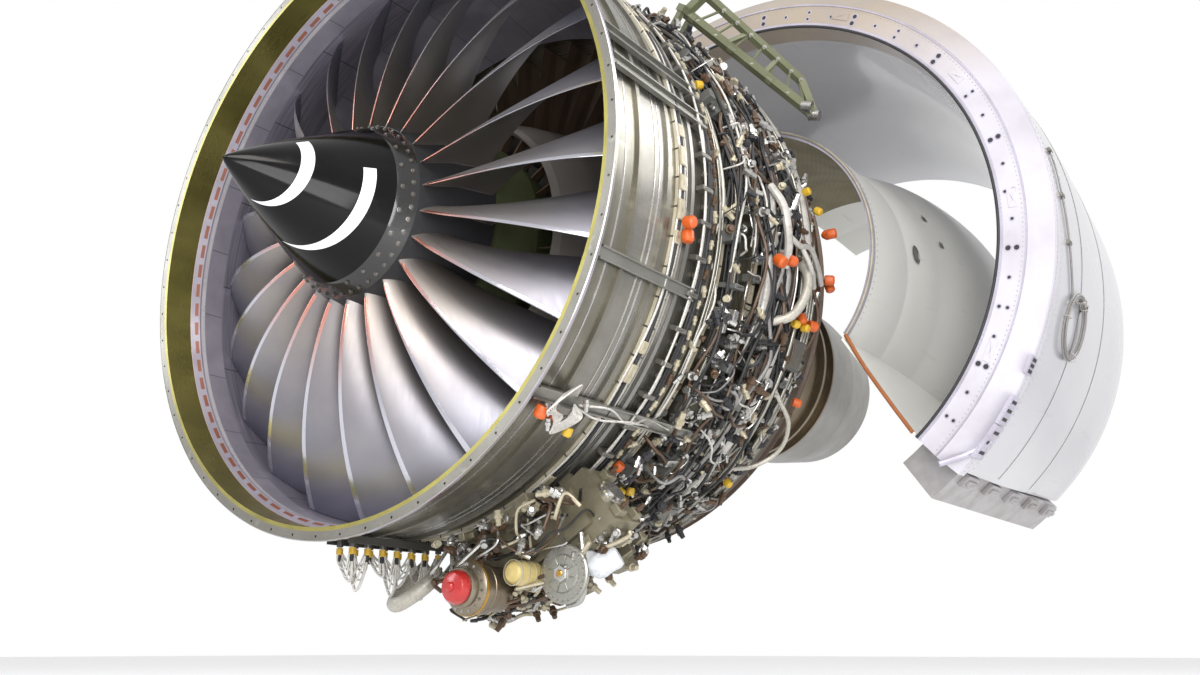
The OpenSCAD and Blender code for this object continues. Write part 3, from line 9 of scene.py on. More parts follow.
import bmesh
import bpy
import numpy as np
from mathutils import Matrix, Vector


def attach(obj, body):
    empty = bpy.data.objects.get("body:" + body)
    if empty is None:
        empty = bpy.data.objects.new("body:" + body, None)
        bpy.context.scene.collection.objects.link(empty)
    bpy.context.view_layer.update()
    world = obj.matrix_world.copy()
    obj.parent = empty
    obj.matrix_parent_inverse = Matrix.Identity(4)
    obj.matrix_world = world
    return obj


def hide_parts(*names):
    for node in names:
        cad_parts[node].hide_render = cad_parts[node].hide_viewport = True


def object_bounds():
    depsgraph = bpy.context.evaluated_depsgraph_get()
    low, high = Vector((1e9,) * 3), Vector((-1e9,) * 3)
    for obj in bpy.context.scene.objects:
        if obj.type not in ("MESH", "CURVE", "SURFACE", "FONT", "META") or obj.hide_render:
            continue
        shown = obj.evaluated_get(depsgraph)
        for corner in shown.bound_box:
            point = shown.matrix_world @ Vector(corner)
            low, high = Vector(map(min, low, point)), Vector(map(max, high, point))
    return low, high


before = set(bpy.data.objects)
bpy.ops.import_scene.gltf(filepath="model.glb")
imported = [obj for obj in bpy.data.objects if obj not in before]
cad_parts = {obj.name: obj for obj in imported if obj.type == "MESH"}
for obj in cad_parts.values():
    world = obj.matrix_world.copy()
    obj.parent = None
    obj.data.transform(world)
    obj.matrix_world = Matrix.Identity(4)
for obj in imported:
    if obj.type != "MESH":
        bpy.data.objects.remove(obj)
cad_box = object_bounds()
TURN = 2 * math.pi

# Camera, fitted to the ring of the fan case and to the hall's horizon
FOCAL_PX, WIDTH_PX, SENSOR_MM = 1070.39, 1200.0, 36.0
AZIMUTH, ELEVATION = math.radians(36.4), math.radians(-16.2)
CAMERA_AT = (3.8178, -3.1446, -2.0403)
camera_data = bpy.data.cameras.new("camera")
camera_data.sensor_width = SENSOR_MM
camera_data.lens = SENSOR_MM * FOCAL_PX / WIDTH_PX
camera_data.clip_end = 200.0
camera = bpy.data.objects.new("camera", camera_data)
back = np.array([math.sin(AZIMUTH) * math.cos(ELEVATION), -math.cos(AZIMUTH) * math.cos(ELEVATION),
                 math.sin(ELEVATION)])  # from the engine towards the camera
right = np.cross([0.0, 0.0, 1.0], back)
right /= np.linalg.norm(right)
pose = np.eye(4)
pose[:3, :3] = np.stack([right, np.cross(back, right), back], 1)
pose[:3, 3] = CAMERA_AT
camera.matrix_world = Matrix(pose.tolist())
bpy.context.scene.collection.objects.link(camera)
bpy.context.scene.camera = camera

# Values shared with the solids: how far the halves stand open, and their hinge line
OPEN = math.radians(32)
HINGE_X, HINGE_Z = 0.25, 1.70
# Stations of the reverser: its front face, the front of the cowl, the trailing edge
REV_Y0, BOX_Y1, REV_Y1 = 2.1306, 2.3006, 4.7106
# Fan blades: count, tip radius, radii of the hub before and behind them, then lengths along the shaft
BLADES, TIP_R, HUB_R0, HUB_R1 = 22, 1.490, 0.440, 0.550
ROOT_Y, ROOT_LEN, TIP_LEN, SWEEP = 0.045, 0.370, 0.250, 0.330
TIP_RUN, ROOT_RUN = TIP_R * math.radians(15.5), 0.036
ROOT_CAMBER, TIP_CAMBER, ROOT_THICK, TIP_THICK = 0.034, 0.012, 0.034, 0.009
# Spinner: tip station, length, radius at the rear of its fairing, stations of the fairing
SPIN_TIP_Y, SPIN_LEN, SPIN_REAR_R = -0.7183, 0.755, 0.4355
FAIRING_Y0, FAIRING_Y1 = -0.0583, 0.0367


def swing(points, side=1):
    """Points of a closed left half, turned open about its hinge line, and mirrored where side is -1."""
    p = np.array(points, float)
    x, z = p[..., 0] - HINGE_X, p[..., 2] - HINGE_Z
    c, s = math.cos(OPEN), math.sin(OPEN)
    p[..., 0] = side * (HINGE_X + x * c - z * s)
    p[..., 2] = HINGE_Z + x * s + z * c
    return p


def ring_point(clock, r, y):
    """Point on radius r at a clock angle in degrees and a station, for numbers or arrays."""
    a = np.radians(clock)
    x, y, z = np.broadcast_arrays(r * np.sin(a), y, r * np.cos(a))
    return np.stack([x, y, z], -1)


# Mesh tools: every surface is a grid of points worked out as whole arrays

def grid_faces(rows, cols, wrap=False):
    """Quads of a grid stored row by row; wrap joins the last column to the first."""
    i, j = np.meshgrid(np.arange(rows - 1), np.arange(cols if wrap else cols - 1), indexing="ij")
    k = (j + 1) % cols
    return np.stack([i * cols + j, i * cols + k, (i + 1) * cols + k, (i + 1) * cols + j], -1).reshape(-1, 4)


def piece(name, parts, body, slot, finish, smooth=35, replaces=(), uv=None, closed=True):
    """One mesh object from (points, quads) parts, riding on a body, with a finish; its slot is not used.

    Poles and seams are merged, the faces of a closed piece turned outwards, and edges sharper than
    smooth degrees stay sharp.
    """
    parts = [(np.asarray(p, float).reshape(-1, 3), np.asarray(f)) for p, f in parts]
    starts = np.cumsum([0] + [len(p) for p, f in parts[:-1]])
    points = np.concatenate([p for p, f in parts])
    faces = [quad for (p, f), start in zip(parts, starts) for quad in (f + start).tolist()]
    mesh = bpy.data.meshes.new(name)
    mesh.from_pydata(points.tolist(), [], faces)
    if uv is not None:
        layer = mesh.uv_layers.new(name="UVMap")
        corners = np.zeros(len(mesh.loops), int)
        mesh.loops.foreach_get("vertex_index", corners)
        layer.data.foreach_set("uv", np.asarray(uv, np.float32).reshape(-1, 2)[corners].ravel())
    shape = bmesh.new()
    shape.from_mesh(mesh)
    bmesh.ops.remove_doubles(shape, verts=shape.verts, dist=1e-6)
    if closed:
        bmesh.ops.recalc_face_normals(shape, faces=shape.faces)
    shape.to_mesh(mesh)
    shape.free()
    mesh.shade_smooth()
    mesh.set_sharp_from_angle(angle=math.radians(smooth))
    obj = bpy.data.objects.new(name, mesh)
    bpy.context.scene.collection.objects.link(obj)
    obj.data.materials.append(finish)
    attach(obj, body)
    if replaces:
        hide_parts(*replaces)
    return obj


def on_engine(groups):
    """One piece on the engine frame for each name: its parts, its slot and its finish."""
    for name, (parts, slot, finish) in groups.items():
        piece(name, parts, "engine_frame", slot, finish)


def lathe(profile, a0=0.0, a1=360.0, n=180):
    """Profile (radius, station) turned about the shaft from clock a0 to a1; a full turn is closed."""
    full = abs(a1 - a0) >= 359.99
    a = np.linspace(a0, a1, n, endpoint=not full)
    r, y = np.array(profile, float).T
    return ring_point(a[None, :], r[:, None], y[:, None]), grid_faces(len(r), n, wrap=full)


def lathe_solid(profile, a0, a1, n):
    """A profile turned through part of a circle; each end is closed by a ring drawn in to the middle."""
    pts = np.array(list(profile) + [profile[0]], float)
    a = np.concatenate([[a0], np.linspace(a0, a1, n), [a1]])
    mid = pts[:-1].mean(0)
    r = np.repeat(pts[:, :1], n + 2, 1)
    y = np.repeat(pts[:, 1:], n + 2, 1)
    for k in (0, -1):
        r[:, k], y[:, k] = mid
    return ring_point(a[None, :], r, y), grid_faces(len(pts), n + 2)


def sweep(path, radius, ref=(0, 1, 0), sides=8, caps=True):
    """Round tube: circles set square to a path, their first axis kept beside a reference direction."""
    p = np.asarray(path, float)
    t = np.gradient(p, axis=0)
    t /= np.linalg.norm(t, axis=1)[:, None] + 1e-12
    ref = np.broadcast_to(np.asarray(ref, float), p.shape)
    u = np.cross(t, ref)
    u /= np.linalg.norm(u, axis=1)[:, None] + 1e-12
    v = np.cross(u, t)
    a = np.arange(sides) * TURN / sides
    rad = np.broadcast_to(np.asarray(radius, float), (len(p),))[:, None, None]
    rings = p[:, None, :] + rad * (u[:, None, :] * np.cos(a)[None, :, None]
                                   + v[:, None, :] * np.sin(a)[None, :, None])
    faces = grid_faces(len(p), sides, wrap=True)
    if caps:
        rings = np.concatenate([np.repeat(p[:1, None], sides, 1), rings, np.repeat(p[-1:, None], sides, 1)])
        faces = grid_faces(len(p) + 2, sides, wrap=True)
    return rings, faces


def smooth_path(knots, n=24):
    """Catmull-Rom curve through given points, with n steps in all."""
    k = np.asarray(knots, float)
    k = np.concatenate([2 * k[:1] - k[1:2], k, 2 * k[-1:] - k[-2:-1]])
    t = np.linspace(0, len(k) - 3 - 1e-6, n)
    i = t.astype(int)
    f = (t - i)[:, None]
    a, b, c, d = k[i], k[i + 1], k[i + 2], k[i + 3]
    return 0.5 * (2 * b + (c - a) * f + (2 * a - 5 * b + 4 * c - d) * f ** 2
                  + (3 * b - a - 3 * c + d) * f ** 3)


def frame_at(clock, r, y, spin=0.0):
    """Place and axes on a turned surface: round the clock, aft and outward, with a spin about outward."""
    a, s = math.radians(clock), math.radians(spin)
    around, aft = np.array([math.cos(a), 0, -math.sin(a)]), np.array([0, 1.0, 0])
    out = np.array([math.sin(a), 0, math.cos(a)])
    u = around * math.cos(s) + aft * math.sin(s)
    v = aft * math.cos(s) - around * math.sin(s)
    return out * r + aft * y, np.stack([u, v, out])


def block(origin, axes, size, bevel=0.003):
    """Box with softened edges: eight-cornered rings, stacked from its base and drawn in at both faces."""
    w, d, h = size
    b = min(bevel, 0.3 * min(size))
    levels = [(0, b), (0, 0), (b, 0), (h - b, 0), (h, b), (h, b)]
    rings = []
    for k, (z, inset) in enumerate(levels):
        x, y = w / 2 - inset, d / 2 - inset
        if k in (0, 5):
            x, y, z = x * 0.001, y * 0.001, (0 if k == 0 else h)
        c = b * 0.6
        ring = [(x - c, -y), (x, -y + c), (x, y - c), (x - c, y), (-x + c, y), (-x, y - c), (-x, -y + c),
                (-x + c, -y)]
        rings.append([(px, py, z) for px, py in ring])
    local = np.array(rings)
    return origin + local @ axes, grid_faces(6, 8, wrap=True)


def stub(origin, axes, profile, sides=12):
    """Turned fitting: profile points (radius, height) turned about the third axis."""
    r, h = np.array(profile, float).T
    a = np.arange(sides) * TURN / sides
    local = np.stack(np.broadcast_arrays(r[:, None] * np.cos(a), r[:, None] * np.sin(a), h[:, None]), -1)
    return origin + local @ axes, grid_faces(len(r), sides, wrap=True)


def disc(r, top, base=0.0):
    """Profile of a plain disc or bolt head for stub, from its base up to its top."""
    return [(0, base), (r, base), (r, top), (0, top)]


def along(direction, up=(0, 1, 0)):
    """Three axes whose third one points along a direction."""
    d = np.asarray(direction, float)
    d = d / np.linalg.norm(d)
    u = np.cross(up, d)
    if np.linalg.norm(u) < 1e-3:
        u = np.cross((1, 0, 0), d)
    u /= np.linalg.norm(u)
    return np.stack([u, np.cross(d, u), d])


# Shader tools: arithmetic on sockets, and one method that makes a node

def tone(code):
    """Linear colour from a six-figure screen colour; a tuple is linear already."""
    if isinstance(code, tuple):
        return code
    c = np.array([int(code[i:i + 2], 16) / 255 for i in (0, 2, 4)])
    return tuple(float(v) for v in np.where(c < 0.04045, c / 12.92, ((c + 0.055) / 1.055) ** 2.4))


class Signal:
    """An output socket with operators; each operation adds one Math node."""

    def __init__(self, tree, out):
        self.tree, self.out = tree, out

    def math(self, kind, *values, clamp=False):
        """The result of one Math node of a kind, fed with signals or numbers."""
        node = self.tree.nodes.new("ShaderNodeMath")
        node.operation, node.use_clamp = kind, clamp
        for socket, value in zip(node.inputs, values):
            if isinstance(value, Signal):
                self.tree.links.new(value.out, socket)
            else:
                socket.default_value = value
        return Signal(self.tree, node.outputs[0])

    def __add__(self, o):
        return self.math("ADD", self, o)

    __radd__ = __add__

    def __sub__(self, o):
        return self.math("SUBTRACT", self, o)

    def __rsub__(self, o):
        return self.math("SUBTRACT", o, self)

    def __mul__(self, o):
        return self.math("MULTIPLY", self, o)

    __rmul__ = __mul__

    def fract(self):
        """What is left over whole numbers: a saw that repeats a pattern."""
        return self.math("FRACT", self)

    def near(self, centre, half, soft):
        """1 within half of a centre, falling to 0 over the soft width."""
        return self.math("MULTIPLY_ADD", self.math("ABSOLUTE", self - centre), -1.0 / soft,
                         half / soft + 0.5, clamp=True)

    def over(self, level, soft):
        """0 below a level and 1 above it, over the soft width."""
        return self.math("MULTIPLY_ADD", self, 1.0 / soft, 0.5 - level / soft, clamp=True)


class Finish:
    """One material: a Principled shader, and the coordinates and nodes that vary it over a piece.

    The angle and radius are counted about the shaft, or about a line through centre (x, z).
    """

    def __init__(self, name, color, rough=0.5, metal=0.0, coat=0.0, centre=(0.0, 0.0), **more):
        self.mat = bpy.data.materials.new(name)
        self.mat.use_nodes = True
        self.tree = self.mat.node_tree
        self.shader = self.tree.nodes["Principled BSDF"]
        for key, value in {"Base Color": (*tone(color), 1), "Roughness": rough, "Metallic": metal,
                           "Coat Weight": coat, "Coat Roughness": 0.08, **more}.items():
            self.shader.inputs[key].default_value = value
        self.at = self.node("ShaderNodeTexCoord", out="Object")
        x, y, z = (self.node("ShaderNodeSeparateXYZ", values={0: self.at}, out=k) for k in range(3))
        self.x, self.y, self.z = x - centre[0], y, z - centre[1]
        self.r = self.x.math("SQRT", self.x * self.x + self.z * self.z)
        self.clock = self.x.math("ARCTAN2", self.x, self.z) * (180 / math.pi)

    def node(self, kind, settings=None, values=None, out=0):
        """An output of a new node; its settings are made first, then its sockets' values or links."""
        node = self.tree.nodes.new(kind)
        for key, value in (settings or {}).items():
            setattr(node, key, value)
        for key, value in (values or {}).items():
            if isinstance(value, Signal):
                self.tree.links.new(value.out, node.inputs[key])
            else:
                node.inputs[key].default_value = value
        return Signal(self.tree, node.outputs[out])

    def noise(self, scale, detail=2.0, rough=0.5, stretch=(1, 1, 1)):
        """Noise on the piece's own coordinates, stretched along each axis."""
        where = self.node("ShaderNodeMapping", values={"Vector": self.at, "Scale": stretch})
        return self.node("ShaderNodeTexNoise", values={"Vector": where, "Scale": scale, "Detail": detail,
                                                       "Roughness": rough})

    def turned(self, around=1.0, axial=1.0, radial=1.0):
        """Coordinates that follow a turned surface: angle, station and radius, each with its own stretch."""
        return self.node("ShaderNodeCombineXYZ", values={0: self.clock * around, 1: self.y * axial,
                                                         2: self.r * radial})

    def grain(self, around=0.02, axial=60.0, scale=3.0):
        """Fine lathe marks round the shaft."""
        return self.node("ShaderNodeTexNoise", values={"Vector": self.turned(around, axial, axial),
                                                       "Scale": scale, "Detail": 3.0, "Roughness": 0.6})

    def mix(self, factor, a, b):
        """Blend of two colours, given as codes, tuples or signals."""
        as_color = [v if isinstance(v, Signal) else (*tone(v), 1) for v in (a, b)]
        sockets = {0: factor, 6: as_color[0], 7: as_color[1]}
        return self.node("ShaderNodeMix", {"data_type": "RGBA"}, sockets, out=2)

    def feed(self, color, rough, bump=None, strength=0.3, distance=0.002):
        """Lead the colour, the roughness and a bump height to the shader, and give its material."""
        self.tree.links.new(color.out, self.shader.inputs["Base Color"])
        self.tree.links.new(rough.out, self.shader.inputs["Roughness"])
        if bump is not None:
            n = self.node("ShaderNodeBump", values={"Height": bump, "Strength": strength,
                                                    "Distance": distance})
            self.tree.links.new(n.out, self.shader.inputs["Normal"])
        return self.mat


# Finishes

def worn(name, color, rough=0.4, metal=0.0, scale=6.0, dirt=0.35, bump=0.15, **more):
    """General finish: broad stains, and a fine speckle in roughness and bump."""
    f = Finish(name, color, rough, metal, **more)
    broad, speck = f.noise(scale, 4, 0.6), f.noise(90.0, 2)
    dark = tuple(c * s for c, s in zip(tone(color), (0.5, 0.45, 0.4)))
    return f.feed(color=f.mix(broad.over(0.55, 0.3) * dirt, color, dark),
                  rough=rough + (speck - 0.5) * 0.25 + (broad - 0.5) * 0.2,
                  bump=speck, strength=bump, distance=0.001)


def turned_metal(name, color, rough=0.32, metal=0.85, tint=None, stain=0.35, **more):
    """Turned metal, bare or painted: fine marks round the shaft, broad stains, darker streaks."""
    f = Finish(name, color, rough, metal, **more)
    marks, broad = f.grain(), f.noise(3.5, 4, 0.6)
    dark = tint or tuple(0.45 * c for c in tone(color))
    shade = f.mix(broad.over(0.5, 0.35) * stain + marks.over(0.55, 0.2) * 0.18, color, dark)
    return f.feed(color=shade, rough=rough + (marks - 0.5) * 0.22 + (broad - 0.5) * 0.2, bump=marks,
                  strength=0.2, distance=0.0008)


def blade_finish():
    """Titanium blade: fine brushing across the chord, cloudy stains, warmer at the root than at the tip."""
    f = Finish("blade_titanium", "84858c", 0.42, 0.85)
    brushed = f.noise(9.0, 3, 0.6, stretch=(1, 14, 1))
    cloud = f.noise(2.2, 3, 0.5)
    span = f.r.over(1.0, 0.9)
    body = f.mix(span, "9c948c", "868793")
    body = f.mix(cloud.over(0.55, 0.25) * 0.4, body, "6f6f7e")
    return f.feed(color=body, rough=0.42 + (brushed - 0.5) * 0.2 + (cloud - 0.5) * 0.12, bump=brushed,
                  strength=0.06, distance=0.0006)


def edge_finish():
    """Bonded metal strip of the blade's leading edge: bright, with a rose tint towards the root."""
    f = Finish("blade_edge_metal", "d8d3d4", 0.22, 0.9)
    scratch = f.noise(60.0, 2)
    return f.feed(color=f.mix(f.r.over(0.72, 0.35), "c78a7c", "b9b9c2"), rough=0.2 + (scratch - 0.5) * 0.2,
                  bump=scratch, strength=0.05)


def spinner_finish():
    """Gloss black spinner with two white crescents: each is square at one end and tapers along its line."""
    f = Finish("spinner_black", "070708", 0.2, 0.0, coat=0.2, **{"Specular IOR Level": 0.12})
    marks = None
    # Clock from and to, station at the square end, and how far the mark drifts on the way
    for c0, c1, y0, dy in ((39.0, 197.0, -0.405, -0.125), (79.0, 201.0, -0.170, -0.135)):
        turned = f.clock - c0 + 720.0
        part = turned.math("MODULO", turned, 360.0) * (1 / (c1 - c0))
        line = f.y - y0 - part * part * dy
        width = (1.0 - part * part * part) * 0.026 + 0.0005
        inside = part.over(0.0005, 0.001) * (1.0 - part.over(0.999, 0.002))
        mark = line.math("LESS_THAN", line.math("ABSOLUTE", line), width) * inside
        marks = mark if marks is None else marks.math("MAXIMUM", marks, mark)
    dust, scuff = f.noise(40.0, 3), f.noise(5.0, 3)
    return f.feed(color=f.mix(marks, f.mix(scuff.over(0.6, 0.2) * 0.5, "070708", "131110"), "f4f4f6"),
                  rough=0.14 + (dust - 0.5) * 0.12 + scuff.over(0.6, 0.3) * 0.1, bump=dust, strength=0.03,
                  distance=0.0005)


def liner_finish():
    """Intake lip and liner: an olive primer band, a rose band, dashed brown sealant, then lavender panels."""
    f = Finish("liner_panel", "8f8a99", 0.42, 0.25)
    unrolled = f.node("ShaderNodeCombineXYZ", values={0: f.clock * (TURN * 1.55 / 360), 1: f.y})
    holes = f.node("ShaderNodeTexVoronoi", {"voronoi_dimensions": "2D"},
                   {"Vector": unrolled, "Scale": 260.0}, out="Distance")
    joints = (f.clock * (1 / 15.0)).fract().near(0.5, 0.006, 0.004)
    dash = (f.clock * (1 / 4.5)).fract().near(0.45, 0.33, 0.03)
    cloud = f.noise(4.0, 4, 0.6)
    # From the front: primer, rose, dashed sealant, a pale line, then the panels and their joints
    shade = f.mix(cloud.over(0.5, 0.4) * 0.5, "99949f", "67626f")
    shade = f.mix(f.y.over(0.112, 0.006), f.mix(cloud.over(0.55, 0.3) * 0.5, "b3a552", "8d8140"), shade)
    shade = f.mix(f.y.near(0.135, 0.016, 0.006), shade, "c0a09b")
    shade = f.mix(f.y.near(0.178, 0.008, 0.003) * dash, shade, "7c4634")
    shade = f.mix(f.y.near(0.213, 0.012, 0.006), shade, "c9c5c9")
    shade = f.mix(joints * f.y.over(0.23, 0.004) * 0.7, shade, "3d3944")
    return f.feed(color=shade, rough=0.4 + (cloud - 0.5) * 0.3 - f.y.near(0.213, 0.012, 0.006) * 0.15,
                  bump=holes.over(0.2, 0.2), strength=0.1, distance=0.0005)


def track_finish():
    """Abradable track at the blade tips: grey-violet, with a rubbed bright path."""
    f = Finish("track_panel", "77727f", 0.4, 0.5)
    rub, grit = f.grain(0.015, 25.0, 4.0), f.noise(120.0, 2)
    joints = (f.clock * (1 / 20.0)).fract().near(0.5, 0.004, 0.003)
    shade = f.mix(rub.over(0.5, 0.2) * 0.6, "7f7a89", "a29ea8")
    return f.feed(color=f.mix(joints, shade, "2f2c33"), rough=0.38 + (rub - 0.5) * 0.3, bump=grit,
                  strength=0.12, distance=0.0006)


def case_finish(name, base, olive, shift=0.0):
    """Fan case metal: brushed grey turning olive from band to band, rubbed ribs and drifting stains."""
    f = Finish(name, base, 0.33, 0.8)
    marks, broad = f.grain(0.03, 40.0), f.noise(2.6, 4, 0.65)
    flow = f.noise(7.0, 3, 0.6, stretch=(1, 0.25, 1))
    band = f.node("ShaderNodeTexNoise", {"noise_dimensions": "1D"},
                  {"W": f.y * 9.0 + shift, "Scale": 1.0, "Detail": 2.0})
    shade = f.mix(band.over(0.5, 0.25) * 0.65, base, olive)
    shade = f.mix(broad.over(0.58, 0.25) * 0.45, shade, "57544a")
    shade = f.mix(flow.over(0.66, 0.1) * 0.3, shade, "b9b7a8")
    inside = (1.0 - f.r.over(1.538, 0.004)) * (1.0 - f.y.over(0.2, 0.02))
    shade = f.mix(inside, shade, f.mix(flow.over(0.5, 0.3) * 0.5, "968d4c", "777040"))
    return f.feed(color=shade, rough=0.3 + (marks - 0.5) * 0.2 + (broad - 0.5) * 0.22,
                  bump=marks + flow * 0.5, strength=0.15, distance=0.0008)


def groove_finish():
    """Brown anti-corrosion paint of the clamping ring, chipped to metal."""
    f = Finish("groove_brown", "44362c", 0.45, 0.35)
    chips, broad = f.noise(26.0, 5, 0.7), f.noise(4.0, 3)
    shade = f.mix(broad.over(0.5, 0.3) * 0.6, "43352b", "5c4a3a")
    return f.feed(color=f.mix(chips.over(0.66, 0.05), shade, "8d857a"), rough=0.45 + (broad - 0.5) * 0.3,
                  bump=chips, strength=0.2, distance=0.0008)


def raceway_finish():
    """Harness raceway: cream covers cut into segments, with scuffed metal between."""
    f = Finish("raceway_metal", "bdb6a4", 0.4, 0.3)
    broad, scuff = f.noise(5.0, 4), f.noise(45.0, 4, 0.7)
    gap = (f.clock * (1 / 5.0)).fract().near(0.5, 0.03, 0.01)
    shade = f.mix(broad.over(0.5, 0.4) * 0.6, "c9c2ae", "8f8976")
    shade = f.mix(scuff.over(0.66, 0.08) * 0.6, shade, "5d574a")
    return f.feed(color=f.mix(gap, shade, "35322c"), rough=0.4 + (scuff - 0.5) * 0.3, bump=scuff,
                  strength=0.15)


def lagging_finish(name, base, dark, wrap_scale=32.0):
    """Lagged or sleeved duct: creased foil or tape in turns, darker in the folds."""
    f = Finish(name, base, 0.42, 0.25)
    folds, broad = f.noise(wrap_scale, 5, 0.65), f.noise(4.5, 3)
    return f.feed(color=f.mix(folds.over(0.6, 0.25) * 0.55 + broad.over(0.6, 0.2) * 0.25, base, dark),
                  rough=0.38 + (folds - 0.5) * 0.5, bump=folds, strength=0.55, distance=0.004)


def frame_finish():
    """Front ring of the reverser: amber primer at its top, turning to lilac-white paint further down."""
    f = Finish("frame_lilac", "c8c4d2", 0.38, 0.05, centre=SWUNG, coat=0.25)
    broad, specks, scuff = f.noise(3.0, 4, 0.6), f.noise(70.0, 2), f.noise(14.0, 5, 0.7, stretch=(1, 3, 1))
    upper = f.z.over(1.05, 0.7)
    shade = f.mix(upper * 0.8, "c9c6cf", "9d8c70")
    shade = f.mix(broad.over(0.55, 0.3) * 0.3, shade, "8d8790")
    shade = f.mix(scuff.over(0.7, 0.05) * 0.5, shade, "6d6459")
    return f.feed(color=shade, rough=0.36 + (specks - 0.5) * 0.2 + (broad - 0.5) * 0.2, bump=specks,
                  strength=0.05)


def cowl_finish(name, base, rough, coat):
    """Painted composite skin: gloss with faint orange peel, handling marks and streaks along the flow."""
    f = Finish(name, base, rough, 0.0, centre=SWUNG, coat=coat)
    peel, broad = f.noise(55.0, 2), f.noise(1.6, 4, 0.55)
    streak = f.noise(6.0, 4, 0.6, stretch=(2.5, 0.25, 2.5))
    shade = f.mix(broad.over(0.55, 0.35) * 0.3, base, tuple(0.78 * c for c in tone(base)))
    shade = f.mix(streak.over(0.68, 0.12) * 0.22, shade, "9a958f")
    return f.feed(color=shade, rough=rough + (broad - 0.5) * 0.14 + (peel - 0.5) * 0.05, bump=peel,
                  strength=0.03, distance=0.0005)


def quilt_finish():
    """Khaki thermal blanket: stitched diamonds pressed in, darker along the seams."""
    f = Finish("blanket_khaki", "8b8264", 0.7, 0.0, centre=SWUNG)
    a, b = f.clock * (1 / 2.2), f.y * (1 / 0.062)
    one, two = (a + b).fract(), (a - b + 100.0).fract()
    seam = one.near(0.5, 0.02, 0.10).math("MAXIMUM", one.near(0.5, 0.02, 0.10), two.near(0.5, 0.02, 0.10))
    weave, broad = f.noise(220.0, 2), f.noise(5.0, 3)
    shade = f.mix(broad.over(0.5, 0.3) * 0.5, "938a6b", "6b6350")
    return f.feed(color=f.mix(seam * 0.6, shade, "423d30"), rough=0.68 + (weave - 0.5) * 0.2,
                  bump=weave * 0.2 - seam, strength=0.6, distance=0.006)


def floor_finish():
    """Pale painted floor with a little light of its own, so that it shows white under the engine's shadow."""
    f = Finish("floor_paint", (0.82, 0.82, 0.82), 0.7, 0.0,
               **{"Emission Color": (1, 1, 1, 1), "Emission Strength": 0.36, "Specular IOR Level": 0.1})
    cloud = f.noise(0.7, 3)
    return f.feed(color=f.mix(cloud.over(0.5, 0.6) * 0.3, (0.83, 0.83, 0.83), (0.78, 0.78, 0.785)),
                  rough=0.6 + (cloud - 0.5) * 0.1)


# Where the shaft line of the closed left half lies once the half stands open
SWUNG = (HINGE_X - HINGE_X * math.cos(OPEN) + HINGE_Z * math.sin(OPEN),
         HINGE_Z - HINGE_X * math.sin(OPEN) - HINGE_Z * math.cos(OPEN))
SPINNER, BLADE, EDGE = spinner_finish(), blade_finish(), edge_finish()
LINER, TRACK, RACEWAY = liner_finish(), track_finish(), raceway_finish()
CASE = case_finish("case_titanium", "85837f", "6f6b58")
CASE_DARK = case_finish("case_dark", "6a665c", "57523c", 3.0)
GROOVE, FRAME, QUILT = groove_finish(), frame_finish(), quilt_finish()
DUCT, COWL = cowl_finish("duct_white", "ecece6", 0.34, 0.3), cowl_finish("cowl_white", "bcbcc2", 0.2, 0.7)
BOLT = worn("bolt_steel", "a9a6a2", 0.3, 0.9)
SCREW = worn("spinner_screw", "6f6c69", 0.3, 0.85, scale=14, dirt=0.6)
FORGED = turned_metal("forged_titanium", "85817c", 0.35)
TURNED = turned_metal("turned_steel", "8b8a88", 0.28)
NICKEL = turned_metal("nickel_alloy", "8c7f6c", 0.38, stain=0.5)
FILLER = worn("dark_filler", "2b2c2f", 0.4, 0.1, dirt=0.5)
GREEN_CASE = turned_metal("green_casing", "6b7350", 0.42, 0.45)
SILVER_CASE = turned_metal("silver_casing", "96948f", 0.36, 0.8)
CORE_PANEL = cowl_finish("core_panel", "908a84", 0.4, 0.1)
VANE = turned_metal("vane_bronze", "6e5a4b", 0.35, 0.6)
GEARBOX = worn("gearbox_alloy", "8c8672", 0.42, 0.55, scale=9, dirt=0.6, bump=0.3)
RED = worn("starter_red", "b01d1c", 0.28, 0.05, scale=9, dirt=0.35, coat=0.5)
YELLOW = worn("pump_yellow", "cdbb7a", 0.4, 0.1, scale=9, dirt=0.5)
UNIT = worn("unit_grey", "77756f", 0.38, 0.6, scale=12, dirt=0.6, bump=0.25)
TANK = worn("tank_metal", "8c8b85", 0.34, 0.8, scale=5)
BOX = worn("box_grey", "6d6e6c", 0.42, 0.4, scale=7, dirt=0.5, bump=0.2)
LAGGING = lagging_finish("duct_lagging", "c2bfb9", "7e7a72")
PIPE = turned_metal("pipe_steel", "9b988f", 0.3, 0.85)
TRAY = worn("tray_grey", "5b5a57", 0.45, 0.5, scale=5, dirt=0.5)
BEAM = worn("beam_green", "6f7358", 0.45, 0.1, scale=4, dirt=0.5)
MOUNT = worn("mount_steel", "7d7c78", 0.35, 0.8)
CASCADE = worn("cascade_dark", "2f2e2f", 0.5, 0.2)
LATCH = worn("latch_tan", "a9a6a8", 0.38, 0.25, scale=8, dirt=0.5)
WIRE = lagging_finish("harness_white", "c6c3bd", "7a766d", 140.0)
CABLE = lagging_finish("cable_grey", "8f8d8b", "504e4c", 160.0)
ORANGE = worn("cap_orange", "c2571d", 0.4, 0.0, scale=30, dirt=0.3)
CAP_YELLOW = worn("cap_yellow", "c9a32c", 0.42, 0.0, scale=30, dirt=0.3)
CREAM = worn("connector_cream", "b3ab94", 0.42, 0.25, scale=30, dirt=0.5)
BROWN = worn("connector_brown", "54402f", 0.45, 0.2, scale=30, dirt=0.4)
SILVER = worn("fitting_silver", "b7b6b3", 0.28, 0.9, scale=20, dirt=0.4)
DARK = worn("seal_dark_and_opening_shade", "26262a", 0.6, 0.0, scale=20, dirt=0.2)
